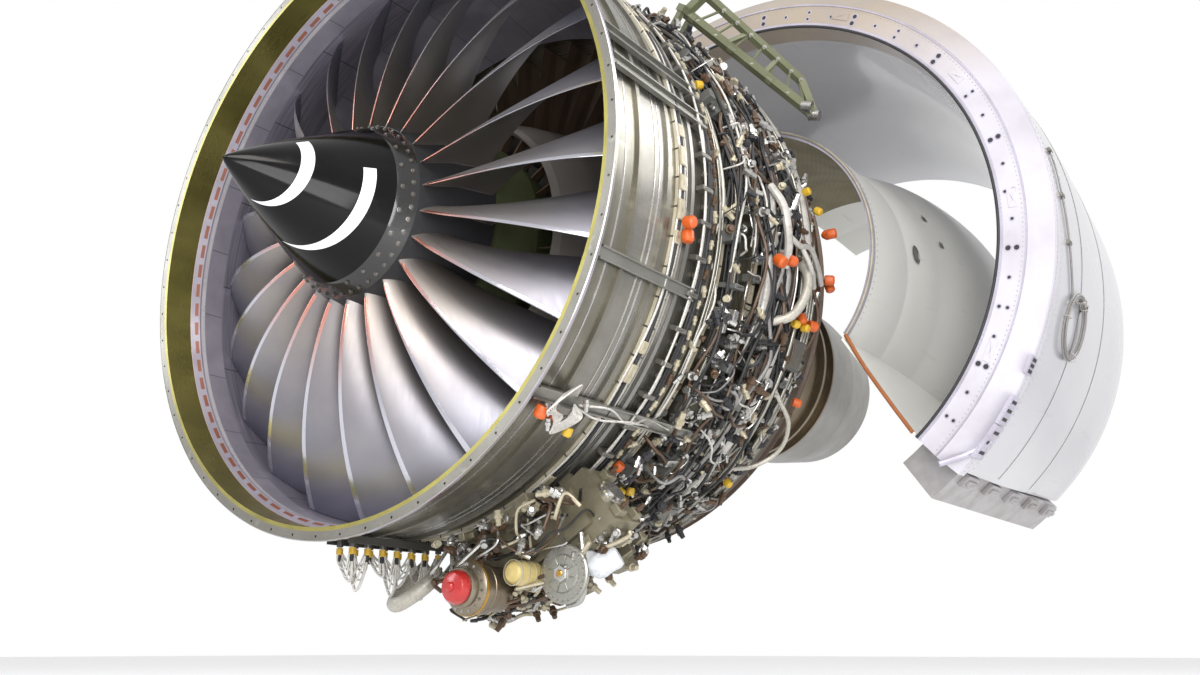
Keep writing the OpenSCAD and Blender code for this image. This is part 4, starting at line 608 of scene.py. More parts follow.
SEAL_ORANGE = worn("seal_orange", "9a5a2c", 0.55, 0.0, scale=12, dirt=0.5)
BLACK = lagging_finish("cable_black", "232325", "0f0f10", 160.0)
HOSE = lagging_finish("hose_cream", "b3afa4", "77736a", 60.0)
RIM = turned_metal("flange_rim", "a9a5b3", 0.25, 0.9, tint="8d8a4c", stain=0.4)
FAIRING = worn("fairing_black", "101012", 0.22, 0.0, scale=9, dirt=0.2, coat=0.6)
STARTER = turned_metal("starter_metal", "8f8676", 0.33, 0.8, tint="5a4a38", stain=0.6)
PAD = turned_metal("pad_metal", "a5a49c", 0.3, 0.75, stain=0.4)
FILM = lagging_finish("clear_wrap", "d9dce0", "9ba3aa", 46.0)
FRAME_EDGE = worn("frame_edge_metal", "bcb8c8", 0.32, 0.35, scale=6, dirt=0.4)
SEAL_TAN = worn("seal_tan", "a09a8c", 0.5, 0.1, scale=14, dirt=0.5)
BRASS = worn("fitting_brass", "b58d45", 0.3, 0.9, scale=20, dirt=0.4)

CARRIED_OVER = (  # finish, and the CAD nodes that it goes on
    (BOLT, "spinner_bolts shaft_bearings fuel_nozzles"), (FORGED, "fan_disc intermediate_rotor"),
    (FILLER, "annulus_fillers"), (TURNED, "fan_shaft drive_shaft"),
    (NICKEL, "low_pressure_turbine core_rotor combustion_case combustor_liner turbine_case exhaust_frame"),
    (NICKEL, "exhaust_cone"), (GREEN_CASE, "front_bearing_housing intermediate_case"),
    (CORE_PANEL, "core_fairing"), (VANE, "inlet_vanes guide_vanes"),
    (SILVER_CASE, "front_compressor_case rear_compressor_case exhaust_nozzle"), (CASE, "fan_case_front"),
    (CASE_DARK, "fan_case_rear guide_vane_ring"), (LINER, "intake_liner rear_liner"),
    (TRACK, "fan_track_liner"), (GROOVE, "groove_ring"), (RACEWAY, "harness_rings"),
    (TANK, "axial_rails oil_tank"), (GEARBOX, "gearbox_case"), (RED, "starter"), (YELLOW, "fuel_pump"),
    (UNIT, "generator"), (BOX, "control_boxes"), (LAGGING, "air_ducts"), (PIPE, "pipe_runs"),
    (TRAY, "harness_tray"), (BEAM, "hinge_beam cowl_support_arm"), (MOUNT, "front_mount rear_mount"),
    (FRAME, "left_front_frame right_front_frame"), (DUCT, "left_inner_wall right_inner_wall"),
    (CASCADE, "left_cascades right_cascades"), (COWL, "left_cowl right_cowl"),
    (LATCH, "left_latch_beam right_latch_beam"))
for finish, node_names in CARRIED_OVER:
    for node_name in node_names.split():
        for material_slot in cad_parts[node_name].material_slots:
            material_slot.material = finish

# Fan: spinner, screws and blades

def spinner_r(y):
    """Radius of the cone at a station: it grows as the 0.88 power of the distance from the tip."""
    return SPIN_REAR_R * np.clip((np.asarray(y, float) - SPIN_TIP_Y) / SPIN_LEN, 0, 1) ** 0.88


def make_spinner():
    """Cone with a rounded point, whose stations crowd towards it, then the fairing ring behind."""
    t = np.linspace(0, 1, 60) ** 1.6
    y = SPIN_TIP_Y + (FAIRING_Y0 - 0.0012 - SPIN_TIP_Y) * t
    r = spinner_r(y)
    nose = np.clip((y - SPIN_TIP_Y) / 0.02, 0, 1) ** 0.5
    r = r * nose
    outer = np.stack([r, y], 1)
    end = [(r[-1] - 0.002, y[-1] + 0.001), (r[-1] - 0.03, y[-1] + 0.001), (r[-1] - 0.03, y[-1] - 0.02)]
    inner = [(0.02, SPIN_TIP_Y + 0.06), (0.0, SPIN_TIP_Y + 0.06)]
    piece("spinner_shell", [lathe(np.concatenate([outer, end, inner]), n=160)], "fan_spool",
          "spinner_black", SPINNER, replaces=("spinner_cone",))
    y = np.linspace(FAIRING_Y0, FAIRING_Y1, 12)
    ring = np.stack([spinner_r(y), y], 1)
    ring[0, 0] -= 0.0015
    closed = np.concatenate([ring, [(0.36, FAIRING_Y1), (0.36, FAIRING_Y0 + 0.004),
                                    ring[0] + (-0.004, 0.0)], ring[:1]])
    piece("spinner_fairing_ring", [lathe(closed, n=160)], "fan_spool", "spinner_black", FAIRING,
          replaces=("spinner_fairing",))


SCREW_ROWS = ((-0.034, (0.0,)), (0.012, (4.0, -4.0)))  # station, clock angles off the blade's own


def make_spinner_bolts():
    """Domed screw heads in washers: two rows round the fairing, each standing square to the cone."""
    slope = math.atan((spinner_r(0.0) - spinner_r(-0.02)) / 0.02)
    head = [(0, 0.0), (0.0125, 0.0), (0.0125, 0.0025), (0.0085, 0.003), (0.0085, 0.0085), (0.0065, 0.0105),
            (0, 0.011)]
    parts = []
    for k in range(BLADES):
        for y, offsets in SCREW_ROWS:
            for offset in offsets:
                spot, axes = frame_at((k + 0.5) * 360 / BLADES + offset, spinner_r(y), y)
                tilted = np.stack([axes[0], axes[1] * math.cos(slope) + axes[2] * math.sin(slope),
                                   axes[2] * math.cos(slope) - axes[1] * math.sin(slope)])
                parts.append(stub(spot, tilted, head, 10))
    piece("spinner_screws", parts, "fan_spool", "bolt_steel", SCREW, replaces=("spinner_bolts",))


def blade_skin(s, t, side, extra=0.0):
    """Blade surface at a share s of the span and t of the chord, on one side.

    A thickness law is set off a parabolic mean line. The chord that carries them leans and slides
    aft from root to tip, and is wrapped round the shaft at the section's own radius.
    """
    s, t = np.broadcast_arrays(np.asarray(s, float), np.asarray(t, float))
    axial = ROOT_LEN + (TIP_LEN - ROOT_LEN) * s
    turn = ROOT_RUN + (TIP_RUN - ROOT_RUN) * s ** 0.85
    length = np.hypot(axial, turn)
    camber = ROOT_CAMBER + (TIP_CAMBER - ROOT_CAMBER) * s
    thick = ROOT_THICK + (TIP_THICK - ROOT_THICK) * s ** 0.6
    half = np.maximum(np.sin(math.pi * np.clip(t, 0, 1) ** 0.8), 0) ** 0.6 / 2
    off = camber * (4 * t * (1 - t) - 0.6) + side * (thick * half + extra)
    x = turn * (0.5 - t) - off * axial / length
    y = ROOT_Y + SWEEP * s ** 2.2 + axial * t - off * turn / length
    hub = HUB_R0 + (HUB_R1 - HUB_R0) * (y - ROOT_Y) / ROOT_LEN
    r = hub + (TIP_R - hub) * s
    return np.stack([r * np.sin(x / r), y, r * np.cos(x / r)], -1)


def turned_copies(points, count):
    """The same points repeated round the shaft."""
    a = np.arange(count) * TURN / count
    c, s = np.cos(a)[:, None], np.sin(a)[:, None]
    flat = points.reshape(-1, 3)
    return np.stack([flat[:, 0] * c + flat[:, 2] * s, np.broadcast_to(flat[:, 1], (count, len(flat))),
                     -flat[:, 0] * s + flat[:, 2] * c], -1)


def repeat_part(points, faces, count):
    """Copies of one grid round the shaft as a list of parts."""
    return [(p, faces) for p in turned_copies(points, count)]


def make_blades():
    """Closed loop of stations down the forward face and back up the aft face, on rows from root to tip."""
    t = 0.5 - 0.5 * np.cos(np.linspace(0, math.pi, 22))
    loop = np.concatenate([t, t[-2:0:-1]])
    side = np.concatenate([np.ones(22), -np.ones(20)])
    s = np.linspace(0, 1, 34)
    skin = blade_skin(s[:, None], loop[None, :], side[None, :])
    mid = skin.mean(1, keepdims=True)
    skin = np.concatenate([np.repeat(mid[:1], len(loop), 1), skin, np.repeat(mid[-1:], len(loop), 1)])
    piece("swept_fan_blades", repeat_part(skin, grid_faces(len(skin), len(loop), wrap=True), BLADES),
          "fan_spool", "blade_titanium", BLADE, replaces=("fan_blades",), smooth=50)
    # Leading edge strip: the same skin, 0.5 mm proud, over the first part of the chord
    reach = 0.035 + 0.03 * s[:, None] ** 2
    k = np.linspace(-1, 1, 11)[None, :]
    strip = blade_skin(np.clip(s[:, None], 0.02, 0.995), np.abs(k) ** 1.5 * reach, np.sign(k) + (k == 0),
                       0.0006)
    piece("blade_edge_strips", repeat_part(strip, grid_faces(34, 11), BLADES), "fan_spool",
          "blade_titanium", EDGE, closed=False, smooth=60)


# Fan case: edge rings, rib caps and flange bolts

def ring_band(r0, r1, y0, y1):
    """Rectangular ring, as a profile turned all the way round."""
    return lathe([(r0, y0), (r1, y0), (r1, y1), (r0, y1), (r0, y0)], n=200)


WELD_LINES = (0.118, 0.335, 0.372, 0.545, 0.588)
# Station, radius, 1 where the heads point aft or -1 where forward, count
JOINT_BOLTS = ((0.8683, 1.521, 1, 96), (0.832, 1.521, -1, 96), (1.9323, 1.518, -1, 110))


def make_case_trim():
    """Thin weld lines on the front case, the bright edge of its front flange, and the bolts of the joints."""
    lines = [ring_band(1.5405, 1.5445, y, y + 0.006) for y in WELD_LINES]
    piece("case_weld_lines", lines, "engine_frame", "case_titanium", SILVER)
    rim = [(1.5795, -0.0015), (1.5835, 0.002), (1.5835, 0.016), (1.5795, 0.0195)]
    piece("flange_edge", [lathe(rim + rim[:1], n=220)], "engine_frame", "case_titanium", RIM)
    head = [(0, 0.0), (0.0115, 0.0), (0.0115, 0.0015), (0.008, 0.002), (0.008, 0.009), (0, 0.0095)]
    parts = []
    for y, r, aft, count in JOINT_BOLTS:
        axes = np.array([[1.0, 0, 0], [0, 0, -aft], [0, aft, 0]])
        local, faces = stub(np.array([0, y, r]), axes, head, 6)
        parts += repeat_part(local, faces, count)
    piece("case_joint_bolts", parts, "engine_frame", "bolt_steel", BOLT)


def skin_r(y):
    """Outer radius of the fan case at a station."""
    return np.interp(y, [0.70, 0.82], [1.542, 1.502])


def case_path(knots, n=24):
    """Smooth path over the fan case through (clock, station, height over the skin)."""
    k = smooth_path(knots, n)
    return ring_point(k[:, 0], skin_r(k[:, 1]) + k[:, 2], k[:, 1])


def outward(path):
    """Unit vectors straight out from the shaft, at each point of a path."""
    v = np.array(path, float)
    v[:, 1] = 0
    return v / np.linalg.norm(v, axis=1)[:, None]


def cable(knots, radius, n=24, sides=6):
    """Tube along a smooth path over the fan case."""
    path = case_path(knots, n)
    return sweep(path, radius, outward(path), sides)


make_spinner()
make_spinner_bolts()
make_blades()
make_case_trim()

# Harness, pipes and fittings over the fan case; the random draws have a fixed seed and order
draw = np.random.default_rng(11)
# Profiles (radius, height) of the small fittings
CONNECTOR = [(0, 0), (0.010, 0), (0.010, 0.012), (0.013, 0.013), (0.013, 0.024), (0.009, 0.026),
             (0.008, 0.045), (0, 0.046)]
CAP = [(0, 0), (0.021, 0), (0.024, 0.006), (0.024, 0.036), (0.018, 0.044), (0, 0.046)]
CLAMP = [(0, 0), (0.014, 0), (0.014, 0.010), (0.006, 0.012), (0.006, 0.020), (0, 0.021)]


def fitting(clock, y, lift, direction, profile, size=1.0, sides=8):
    """Turned fitting on the case, pointing along (round, aft, outward) components of its own place."""
    spot, axes = frame_at(clock, skin_r(y) + lift, y)
    d = np.asarray(direction, float) @ axes
    up = axes[2] if abs(direction[2]) < 0.9 else axes[1]
    return stub(spot, along(d, up), np.array(profile) * size, sides)


def settle(y):
    """Share of its height that the harness keeps at a station: it thins out towards the rear ring."""
    return np.interp(y, [1.45, 1.93], [1.0, 0.34])


def wandering(a0, a1, y, lift, step=9.0, dy=0.022, dl=0.012):
    """Knots of a bundle that runs round the case and strays a little from its station and height."""
    count = max(3, int(abs(a1 - a0) / step))
    k = np.stack([np.linspace(a0, a1, count), np.full(count, y), np.full(count, lift)], 1)
    k[:, 1] += draw.normal(0, dy, count)
    k[:, 2] = np.maximum(k[:, 2] + draw.normal(0, dl, count), 0.012)
    return k


RING_CABLES = (  # station, height over the skin, radius, colour
    (0.705, 0.030, 0.0055, "white"), (0.735, 0.026, 0.0045, "white"), (0.772, 0.030, 0.0060, "black"),
    (0.802, 0.036, 0.0100, "black"), (0.824, 0.040, 0.0080, "black"), (0.512, 0.012, 0.0060, "white"),
    (0.535, 0.013, 0.0090, "black"), (0.548, 0.010, 0.0050, "white"))
RAIL_CLOCKS = np.array([73, 79, 110, 132.5, 180, 227.5, 250, 281])
RACEWAY_R, RACEWAY_Y = 1.5563, 0.530


def make_ring_cables():
    """Cable rings with clips ahead of the case joint, and a row of connectors along the thickest one."""
    cables, beads, clips = {"white": [], "black": []}, {"cream": [], "brown": []}, []
    for a0, a1 in ((14, 172), (188, 346)):
        for y, lift, r, color in RING_CABLES:
            cables[color].append(cable(wandering(a0, a1, y, lift, 7, 0.004, 0.003), r, 110))
        for a in np.arange(a0, a1, 6.0):
            clips.append(block(*frame_at(a, skin_r(0.72), 0.72), (0.022, 0.085, 0.042)))
            clips.append(fitting(a + 2.4, 0.765, 0.0, (0, 0, 1), CLAMP, 1.3, 6))
        for a in np.arange(a0, a1, 2.6):
            group = beads["cream" if draw.random() < 0.55 else "brown"]
            aim = (1, draw.normal(0, 0.2), 0)
            group.append(fitting(a, 0.812, 0.05, aim, CONNECTOR, draw.uniform(0.8, 1.25), 7))
    on_engine({"ring_cables_white": (cables["white"], "harness_white", WIRE),
               "ring_cables_black": (cables["black"], "cable_grey", BLACK),
               "ring_clips": (clips, "unit_grey", UNIT),
               "ring_connectors_cream": (beads["cream"], "harness_white", CREAM),
               "ring_connectors_brown": (beads["brown"], "unit_grey", BROWN)})


def make_raceway_covers():
    """Cream covers clipped over the front raceway, clear of the rails that cross it, with a few left off."""
    parts = []
    for a in np.arange(15, 345, 4.6):
        near_rail = np.min(np.abs(a - RAIL_CLOCKS)) < 3.6
        if near_rail or draw.random() < 0.2:
            continue
        parts.append(block(*frame_at(a, RACEWAY_R, RACEWAY_Y), (draw.uniform(0.05, 0.095), 0.044, 0.012)))
    piece("raceway_covers", parts, "engine_frame", "raceway_metal", CREAM)


HARNESS_LOOKS = {
    "black": ("cable_grey", BLACK), "brown": ("cable_grey", BROWN), "grey": ("cable_grey", CABLE),
    "white": ("harness_white", WIRE), "silver": ("pipe_steel", SILVER), "cream": ("harness_white", CREAM),
    "dark": ("unit_grey", DARK), "box": ("box_grey", BOX)}
CABLE_COLORS = ["black", "black", "black", "brown", "grey", "silver", "black", "white"]
THIN_COLORS = ("white", "silver")


def make_harness():
    """Bundles round the rear case, branches along it, and the fittings that they end in."""
    groups = {key: [] for key in HARNESS_LOOKS}
    # Bundles round the near side
    for i in range(64):
        y = draw.uniform(0.88, 1.90)
        a0 = draw.uniform(16, 90)
        a1 = min(a0 + draw.uniform(35, 100), 172)
        key = draw.choice(CABLE_COLORS)
        thick = draw.uniform(0.0045, 0.012) * (0.6 if key in THIN_COLORS else 1.0)
        lift = draw.uniform(0.02, 0.105) * settle(y)
        knots = wandering(a0, a1, y, lift, 7, 0.03, 0.016 * settle(y))
        groups[key].append(cable(knots, thick, int((a1 - a0) * 0.8) + 8))
    # Fewer, plainer ones round the far side
    for i in range(14):
        a0 = draw.uniform(188, 230)
        key = draw.choice(["black", "grey"])
        a1, y = a0 + draw.uniform(50, 110), draw.uniform(0.9, 1.9)
        groups[key].append(cable(wandering(a0, a1, y, 0.03, 8, 0.01, 0.006), 0.009, 70))
    # Branches that lift off the skin, run aft and come down again
    for i in range(230):
        a, y = draw.uniform(18, 170), draw.uniform(0.88, 1.80)
        run, turn = draw.uniform(0.05, 0.32), draw.normal(0, 4.5)
        base, top = draw.uniform(0.01, 0.06) * settle(y + run), draw.uniform(0.07, 0.16) * settle(y + run)
        knots = [(a, y, base), (a + turn * 0.2, y + run * 0.15, top),
                 (a + turn * 0.5 + draw.normal(0, 1.5), y + run * 0.5, top),
                 (a + turn * 0.8, min(y + run * 0.85, 1.92), top * 0.9),
                 (a + turn, min(y + run, 1.93), base)]
        key = draw.choice(CABLE_COLORS)
        thick = draw.uniform(0.0035, 0.0095) * (0.65 if key in THIN_COLORS else 1.0)
        groups[key].append(cable(knots, thick, 16))
    # Connectors and clamps
    for i in range(620):
        a, y = draw.uniform(17, 171), draw.uniform(0.875, 1.92)
        aim = draw.normal(0, 1, 3) * (1, 1, 0.5) + (0, 0, 0.3)
        key = draw.choice(["silver", "silver", "cream", "dark", "brown"])
        lift = draw.uniform(0.03, 0.14) * settle(y)
        profile = CONNECTOR if draw.random() < 0.7 else CLAMP
        groups[key].append(fitting(a, y, lift, aim, profile, draw.uniform(0.8, 1.9), 7))
    # Small units and brackets on the skin
    for i in range(110):
        a, y = draw.uniform(18, 170), draw.uniform(0.90, 1.88)
        size = (draw.uniform(0.02, 0.07), draw.uniform(0.02, 0.09), draw.uniform(0.02, 0.11) * settle(y))
        spot, axes = frame_at(a, skin_r(y), y, draw.uniform(-12, 12))
        groups["box" if draw.random() < 0.6 else "silver"].append(block(spot, axes, size, 0.004))
    on_engine({f"harness_{key}": (groups[key], *look) for key, look in HARNESS_LOOKS.items()})


ORANGE_CAPS = (  # clock, station, height over the skin, size, direction (round, aft, outward)
    (98, 1.28, 0.13, 1.3, (0.5, 0, 0.8)), (97, 1.40, 0.13, 1.2, (0, 1, 0.3)),
    (95, 1.96, 0.06, 1.2, (0, 0.5, 0.9)), (95, 2.03, 0.05, 1.1, (1, 0, 0.4)),
    (84, 2.06, 0.05, 1.2, (0, 0.4, 1)), (105, 1.62, 0.12, 1.1, (1, 0, 0.5)),
    (106, 1.72, 0.12, 1.2, (0, 1, 0.5)), (100, 0.53, 0.045, 1.2, (0, 0, 1)),
    (101, 0.56, 0.045, 1.2, (1, 0, 0.2)), (134, 0.10, 0.05, 1.2, (1, 0, 0.2)),
    (135, 0.16, 0.05, 1.0, (0, 1, 0.2)), (120, 1.85, 0.1, 1.0, (0, 1, 1)),
    (83, 2.09, 0.02, 1.0, (1, 0, 1)), (141, 0.86, 0.07, 1.0, (1, 0, 0)))
YELLOW_CAPS = (  # clock, station, height over the skin, direction
    (81, 1.66, 0.12, (0, 0, 1)), (83, 1.78, 0.12, (1, 0, 1)), (107, 1.56, 0.12, (0, 1, 0.4)),
    (107, 1.66, 0.12, (0, 0, 1)), (147, 1.02, 0.06, (0, 1, 1)), (146, 1.10, 0.06, (1, 0, 1)),
    (148, 1.06, 0.08, (0, 0, 1)), (139, 1.72, 0.09, (0, 0, 1)), (68, 0.86, 0.05, (0, 1, 0.5)),
    (152, 1.35, 0.08, (1, 0, 1)), (136, 0.30, 0.07, (1, 0, 0.3)))
LAGGED = (  # knots (clock, station, height over the skin), radius, steps
    ([(84, 1.30, 0.10), (88, 1.31, 0.15), (92, 1.33, 0.16), (95, 1.38, 0.14), (98, 1.43, 0.10)], 0.021, 30),
    ([(93, 1.34, 0.15), (94, 1.46, 0.16), (93, 1.60, 0.15), (95, 1.75, 0.12), (97, 1.86, 0.09)], 0.015, 36),
    ([(94, 1.50, 0.155), (97, 1.60, 0.16), (99, 1.72, 0.12)], 0.013, 20))
ARCHED_PIPE = [(94, 1.62, 0.06), (98, 1.60, 0.14), (102, 1.56, 0.16), (106, 1.50, 0.14), (108, 1.44, 0.07)]
LOW_HOSE = [(118, 1.62, 0.05), (121, 1.70, 0.12), (124, 1.82, 0.15), (129, 1.90, 0.14), (134, 1.86, 0.10),
            (137, 1.78, 0.05)]
LONG_WIRES = (
    [(132.5, 0.3, 0.045), (131.5, 0.48, 0.06), (132.8, 0.62, 0.07), (131.8, 0.80, 0.06),
     (132.5, 1.0, 0.07)],
    [(133.0, 0.3, 0.045), (133.6, 0.44, 0.065), (132.4, 0.66, 0.075), (133.2, 0.86, 0.06)])


def make_measured_fittings():
    """Caps, lagged branches, a hank of white wires and curved pipes, where the photograph shows them."""
    orange = [fitting(a, y, lift, aim, CAP, size, 12) for a, y, lift, size, aim in ORANGE_CAPS]
    yellow = [fitting(a, y, lift, aim, CAP, 0.9, 10) for a, y, lift, aim in YELLOW_CAPS]
    white = [cable(knots, radius, n, 10) for knots, radius, n in LAGGED]
    cream = [cable(ARCHED_PIPE, 0.024, 34, 12), cable(LOW_HOSE, 0.012, 36, 8)]
    for k in range(7):
        loop = [(131.5, 0.20 + 0.012 * k, 0.03), (130.5 - k * 0.3, 0.16, 0.07 + 0.006 * k),
                (131.5 + k * 0.4, 0.10 - 0.004 * k, 0.10), (134.0, 0.12 + 0.01 * k, 0.095),
                (135.5 + 0.3 * k, 0.19, 0.09), (134.0, 0.25 + 0.012 * k, 0.075), (132.5, 0.27, 0.045)]
        white.append(cable(loop, 0.0042, 40, 6))
    white += [cable(knots, 0.005, 40) for knots in LONG_WIRES]
    silver = [fitting(a, y, 0.06, (1, 0.4, 0.4), CONNECTOR, 1.2, 8)
              for a, y in ((133.2, 0.10), (134.5, 0.24), (131.0, 0.30), (135.5, 0.16))]
    on_engine({"orange_caps": (orange, "starter_red", ORANGE),
               "yellow_caps": (yellow, "pump_yellow", CAP_YELLOW),
               "lagged_branches": (white, "duct_lagging", LAGGING),
               "curved_pipes": (cream, "duct_lagging", HOSE),
               "loop_fittings": (silver, "pipe_steel", SILVER)})


BOX_SEAT_R = 1.519
BOXES = (  # clock, front station, width, depth, height
    (57, 1.130, 0.25, 0.27, 0.06), (41, 1.130, 0.20, 0.27, 0.07), (70, 0.975, 0.15, 0.15, 0.07),
    (123, 1.235, 0.12, 0.165, 0.09), (139, 1.180, 0.13, 0.17, 0.08), (150, 1.400, 0.17, 0.15, 0.09),
    (112, 1.655, 0.16, 0.15, 0.07), (300, 1.150, 0.26, 0.30, 0.08), (325, 1.150, 0.22, 0.28, 0.07),
    (236, 1.180, 0.18, 0.20, 0.09))


def make_box_trim():
    """On each control box a lid with screws along two edges, and a row of connectors on its front."""
    lids, pins = [], []
    for a, y0, w, d, h in BOXES:
        spot, axes = frame_at(a, BOX_SEAT_R + h, y0 + d / 2)
        lids.append(block(spot, axes, (w - 0.03, d - 0.03, 0.006), 0.002))
        for u in np.arange(-w / 2 + 0.02, w / 2 - 0.01, 0.03):
            for v in (-1, 1):
                corner = spot + u * axes[0] + v * (d / 2 - 0.011) * axes[1]
                pins.append(stub(corner, axes, disc(0.004, 0.004), 6))
        for u in np.arange(-w / 2 + 0.035, w / 2 - 0.02, 0.045):
            front = spot + u * axes[0] - (d / 2) * axes[1] - 0.5 * h * axes[2]
            pins.append(stub(front, along(-axes[1], axes[2]), CONNECTOR, 8))
    on_engine({"box_lids": (lids, "box_grey", UNIT), "box_connectors": (pins, "pipe_steel", SILVER)})


make_ring_cables()
make_raceway_covers()
make_harness()
make_measured_fittings()
make_box_trim()

# Under the engine: starter, pump, drive pad, gearbox details, tray loops


def unit_frame(clock, r, y):
    """Origin and axes of a unit whose axis points forward from the gearbox."""
    a = math.radians(clock)
    out = np.array([math.sin(a), 0, math.cos(a)])
    around = np.array([math.cos(a), 0, -math.sin(a)])
    return out * r + np.array([0, y, 0]), np.stack([around, -out, np.array([0, 1.0, 0])])


def rays(axes, count):
    """Unit vectors spaced evenly round the third axis."""
    angles = [k * TURN / count for k in range(count)]
    return [math.cos(a) * axes[0] + math.sin(a) * axes[1] for a in angles]


HANGING = np.array([[1.0, 0, 0], [0, -1.0, 0], [0, 0, -1.0]])  # axes of a fitting that points down


def make_starter():
    """Red blanking cap with a knob, then stepped silver and bronze rings back to the gearbox pad."""
    spot, axes = unit_frame(164.4, 1.854, 0.262)
    cap = [(0, -0.004), (0.014, -0.003), (0.020, 0.002), (0.022, 0.010), (0.036, 0.012), (0.060, 0.018),
           (0.071, 0.032), (0.0745, 0.050), (0.0745, 0.058), (0.062, 0.0583), (0, 0.0583)]
    piece("starter_cap", [stub(spot, axes, cap, 48)], "engine_frame", "starter_red", RED)
    rings = [(0.0, 0.0586), (0.083, 0.0586), (0.088, 0.066), (0.0885, 0.082), (0.084, 0.086),
             (0.084, 0.096), (0.108, 0.103), (0.1195, 0.113), (0.120, 0.134), (0.1125, 0.141),
             (0.1125, 0.170), (0.109, 0.173), (0.109, 0.184), (0.1125, 0.187), (0.1125, 0.210),
             (0.101, 0.225), (0.100, 0.3115), (0, 0.3115)]
    piece("starter_body", [stub(spot, axes, rings, 56)], "engine_frame", "unit_grey", STARTER,
          replaces=("starter",))
    bolts = [stub(spot + 0.101 * ray + 0.1035 * axes[2], -axes[[1, 0, 2]], disc(0.0075, 0.005, -0.004), 6)
             for ray in rays(axes, 16)]
    clamp = [(0.1200, 0.117), (0.1225, 0.118), (0.1225, 0.130), (0.1200, 0.131)]
    on_engine({"starter_bolts": (bolts, "bolt_steel", BOLT),
               "starter_clamp": ([stub(spot, axes, clamp + clamp[:1], 56)], "bolt_steel", BRASS)})


def make_drive_pad():
    """Flanged disc with a ring of bolts, a raised hexagon hub and a brass centre, and two barrels behind."""
    spot, axes = unit_frame(152.6, 1.950, 0.523)
    plate = [(0, 0.012), (0.040, 0.012), (0.042, 0.015), (0.078, 0.0158), (0.084, 0.0255), (0.1225, 0.0257),
             (0.128, 0.031), (0.128, 0.046), (0.1, 0.0495), (0.0965, 0.0768), (0, 0.0768)]
    piece("drive_pad_disc", [stub(spot, axes, plate, 64)], "engine_frame", "unit_grey", PAD,
          replaces=("generator",))
    hexagon = [(0, -0.001), (0.034, -0.001), (0.038, 0.003), (0.038, 0.013), (0, 0.013)]
    piece("drive_pad_hub", [stub(spot, axes, hexagon, 6)], "engine_frame", "unit_grey", SILVER, smooth=20)
    centre = [(0, -0.006), (0.013, -0.006), (0.016, -0.003), (0.016, 0.0), (0, 0.0)]
    bolts, ribs, barrels = [], [], []
    for k, ray in enumerate(rays(axes, 24)):
        bolts.append(stub(spot + 0.112 * ray + 0.0255 * axes[2], -axes[[1, 0, 2]], disc(0.0062, 0.007), 6))
        if k % 3 == 0:
            rib_axes = np.stack([ray, np.cross(-axes[2], ray), -axes[2]])
            ribs.append(block(spot + 0.060 * ray + 0.0150 * axes[2], rib_axes, (0.036, 0.005, 0.006),
                              0.001))
    for clock, r, length, rad in ((151.0, 1.780, 0.190, 0.084), (165.0, 1.760, 0.150, 0.066)):
        place, turned = unit_frame(clock, r, 0.8163)
        steps = [(0, 0), (rad, 0), (rad, 0.03), (rad - 0.006, 0.034), (rad - 0.006, length * 0.6),
                 (rad, length * 0.63), (rad, length - 0.02), (rad * 0.8, length), (0, length)]
        barrels.append(stub(place, turned, steps, 40))
    on_engine({"drive_pad_centre": ([stub(spot, axes, centre, 24)], "unit_grey", BRASS),
               "drive_pad_bolts": (bolts, "bolt_steel", BOLT), "drive_pad_ribs": (ribs, "unit_grey", PAD),
               "rear_barrels": (barrels, "unit_grey", UNIT)})


ELBOW = [(0.19, 0.52, -1.70), (0.15, 0.44, -1.78), (0.06, 0.40, -1.84), (-0.02, 0.44, -1.83),
         (-0.05, 0.56, -1.74), (-0.05, 0.66, -1.66)]
WRAPPED = [(0.88, 0.64, -1.63), (0.97, 0.62, -1.68), (1.06, 0.61, -1.70), (1.13, 0.64, -1.66)]
RISER = [(0.97, 0.58, -1.56), (0.99, 0.57, -1.66), (0.99, 0.58, -1.76), (0.94, 0.62, -1.84),
         (0.84, 0.66, -1.86)]
GEARBOX_LOOKS = {
    "silver": ("pipe_steel", SILVER), "black": ("cable_grey", BLACK), "cream": ("pump_yellow", CREAM),
    "brown": ("gearbox_alloy", BROWN), "box": ("gearbox_alloy", GEARBOX)}


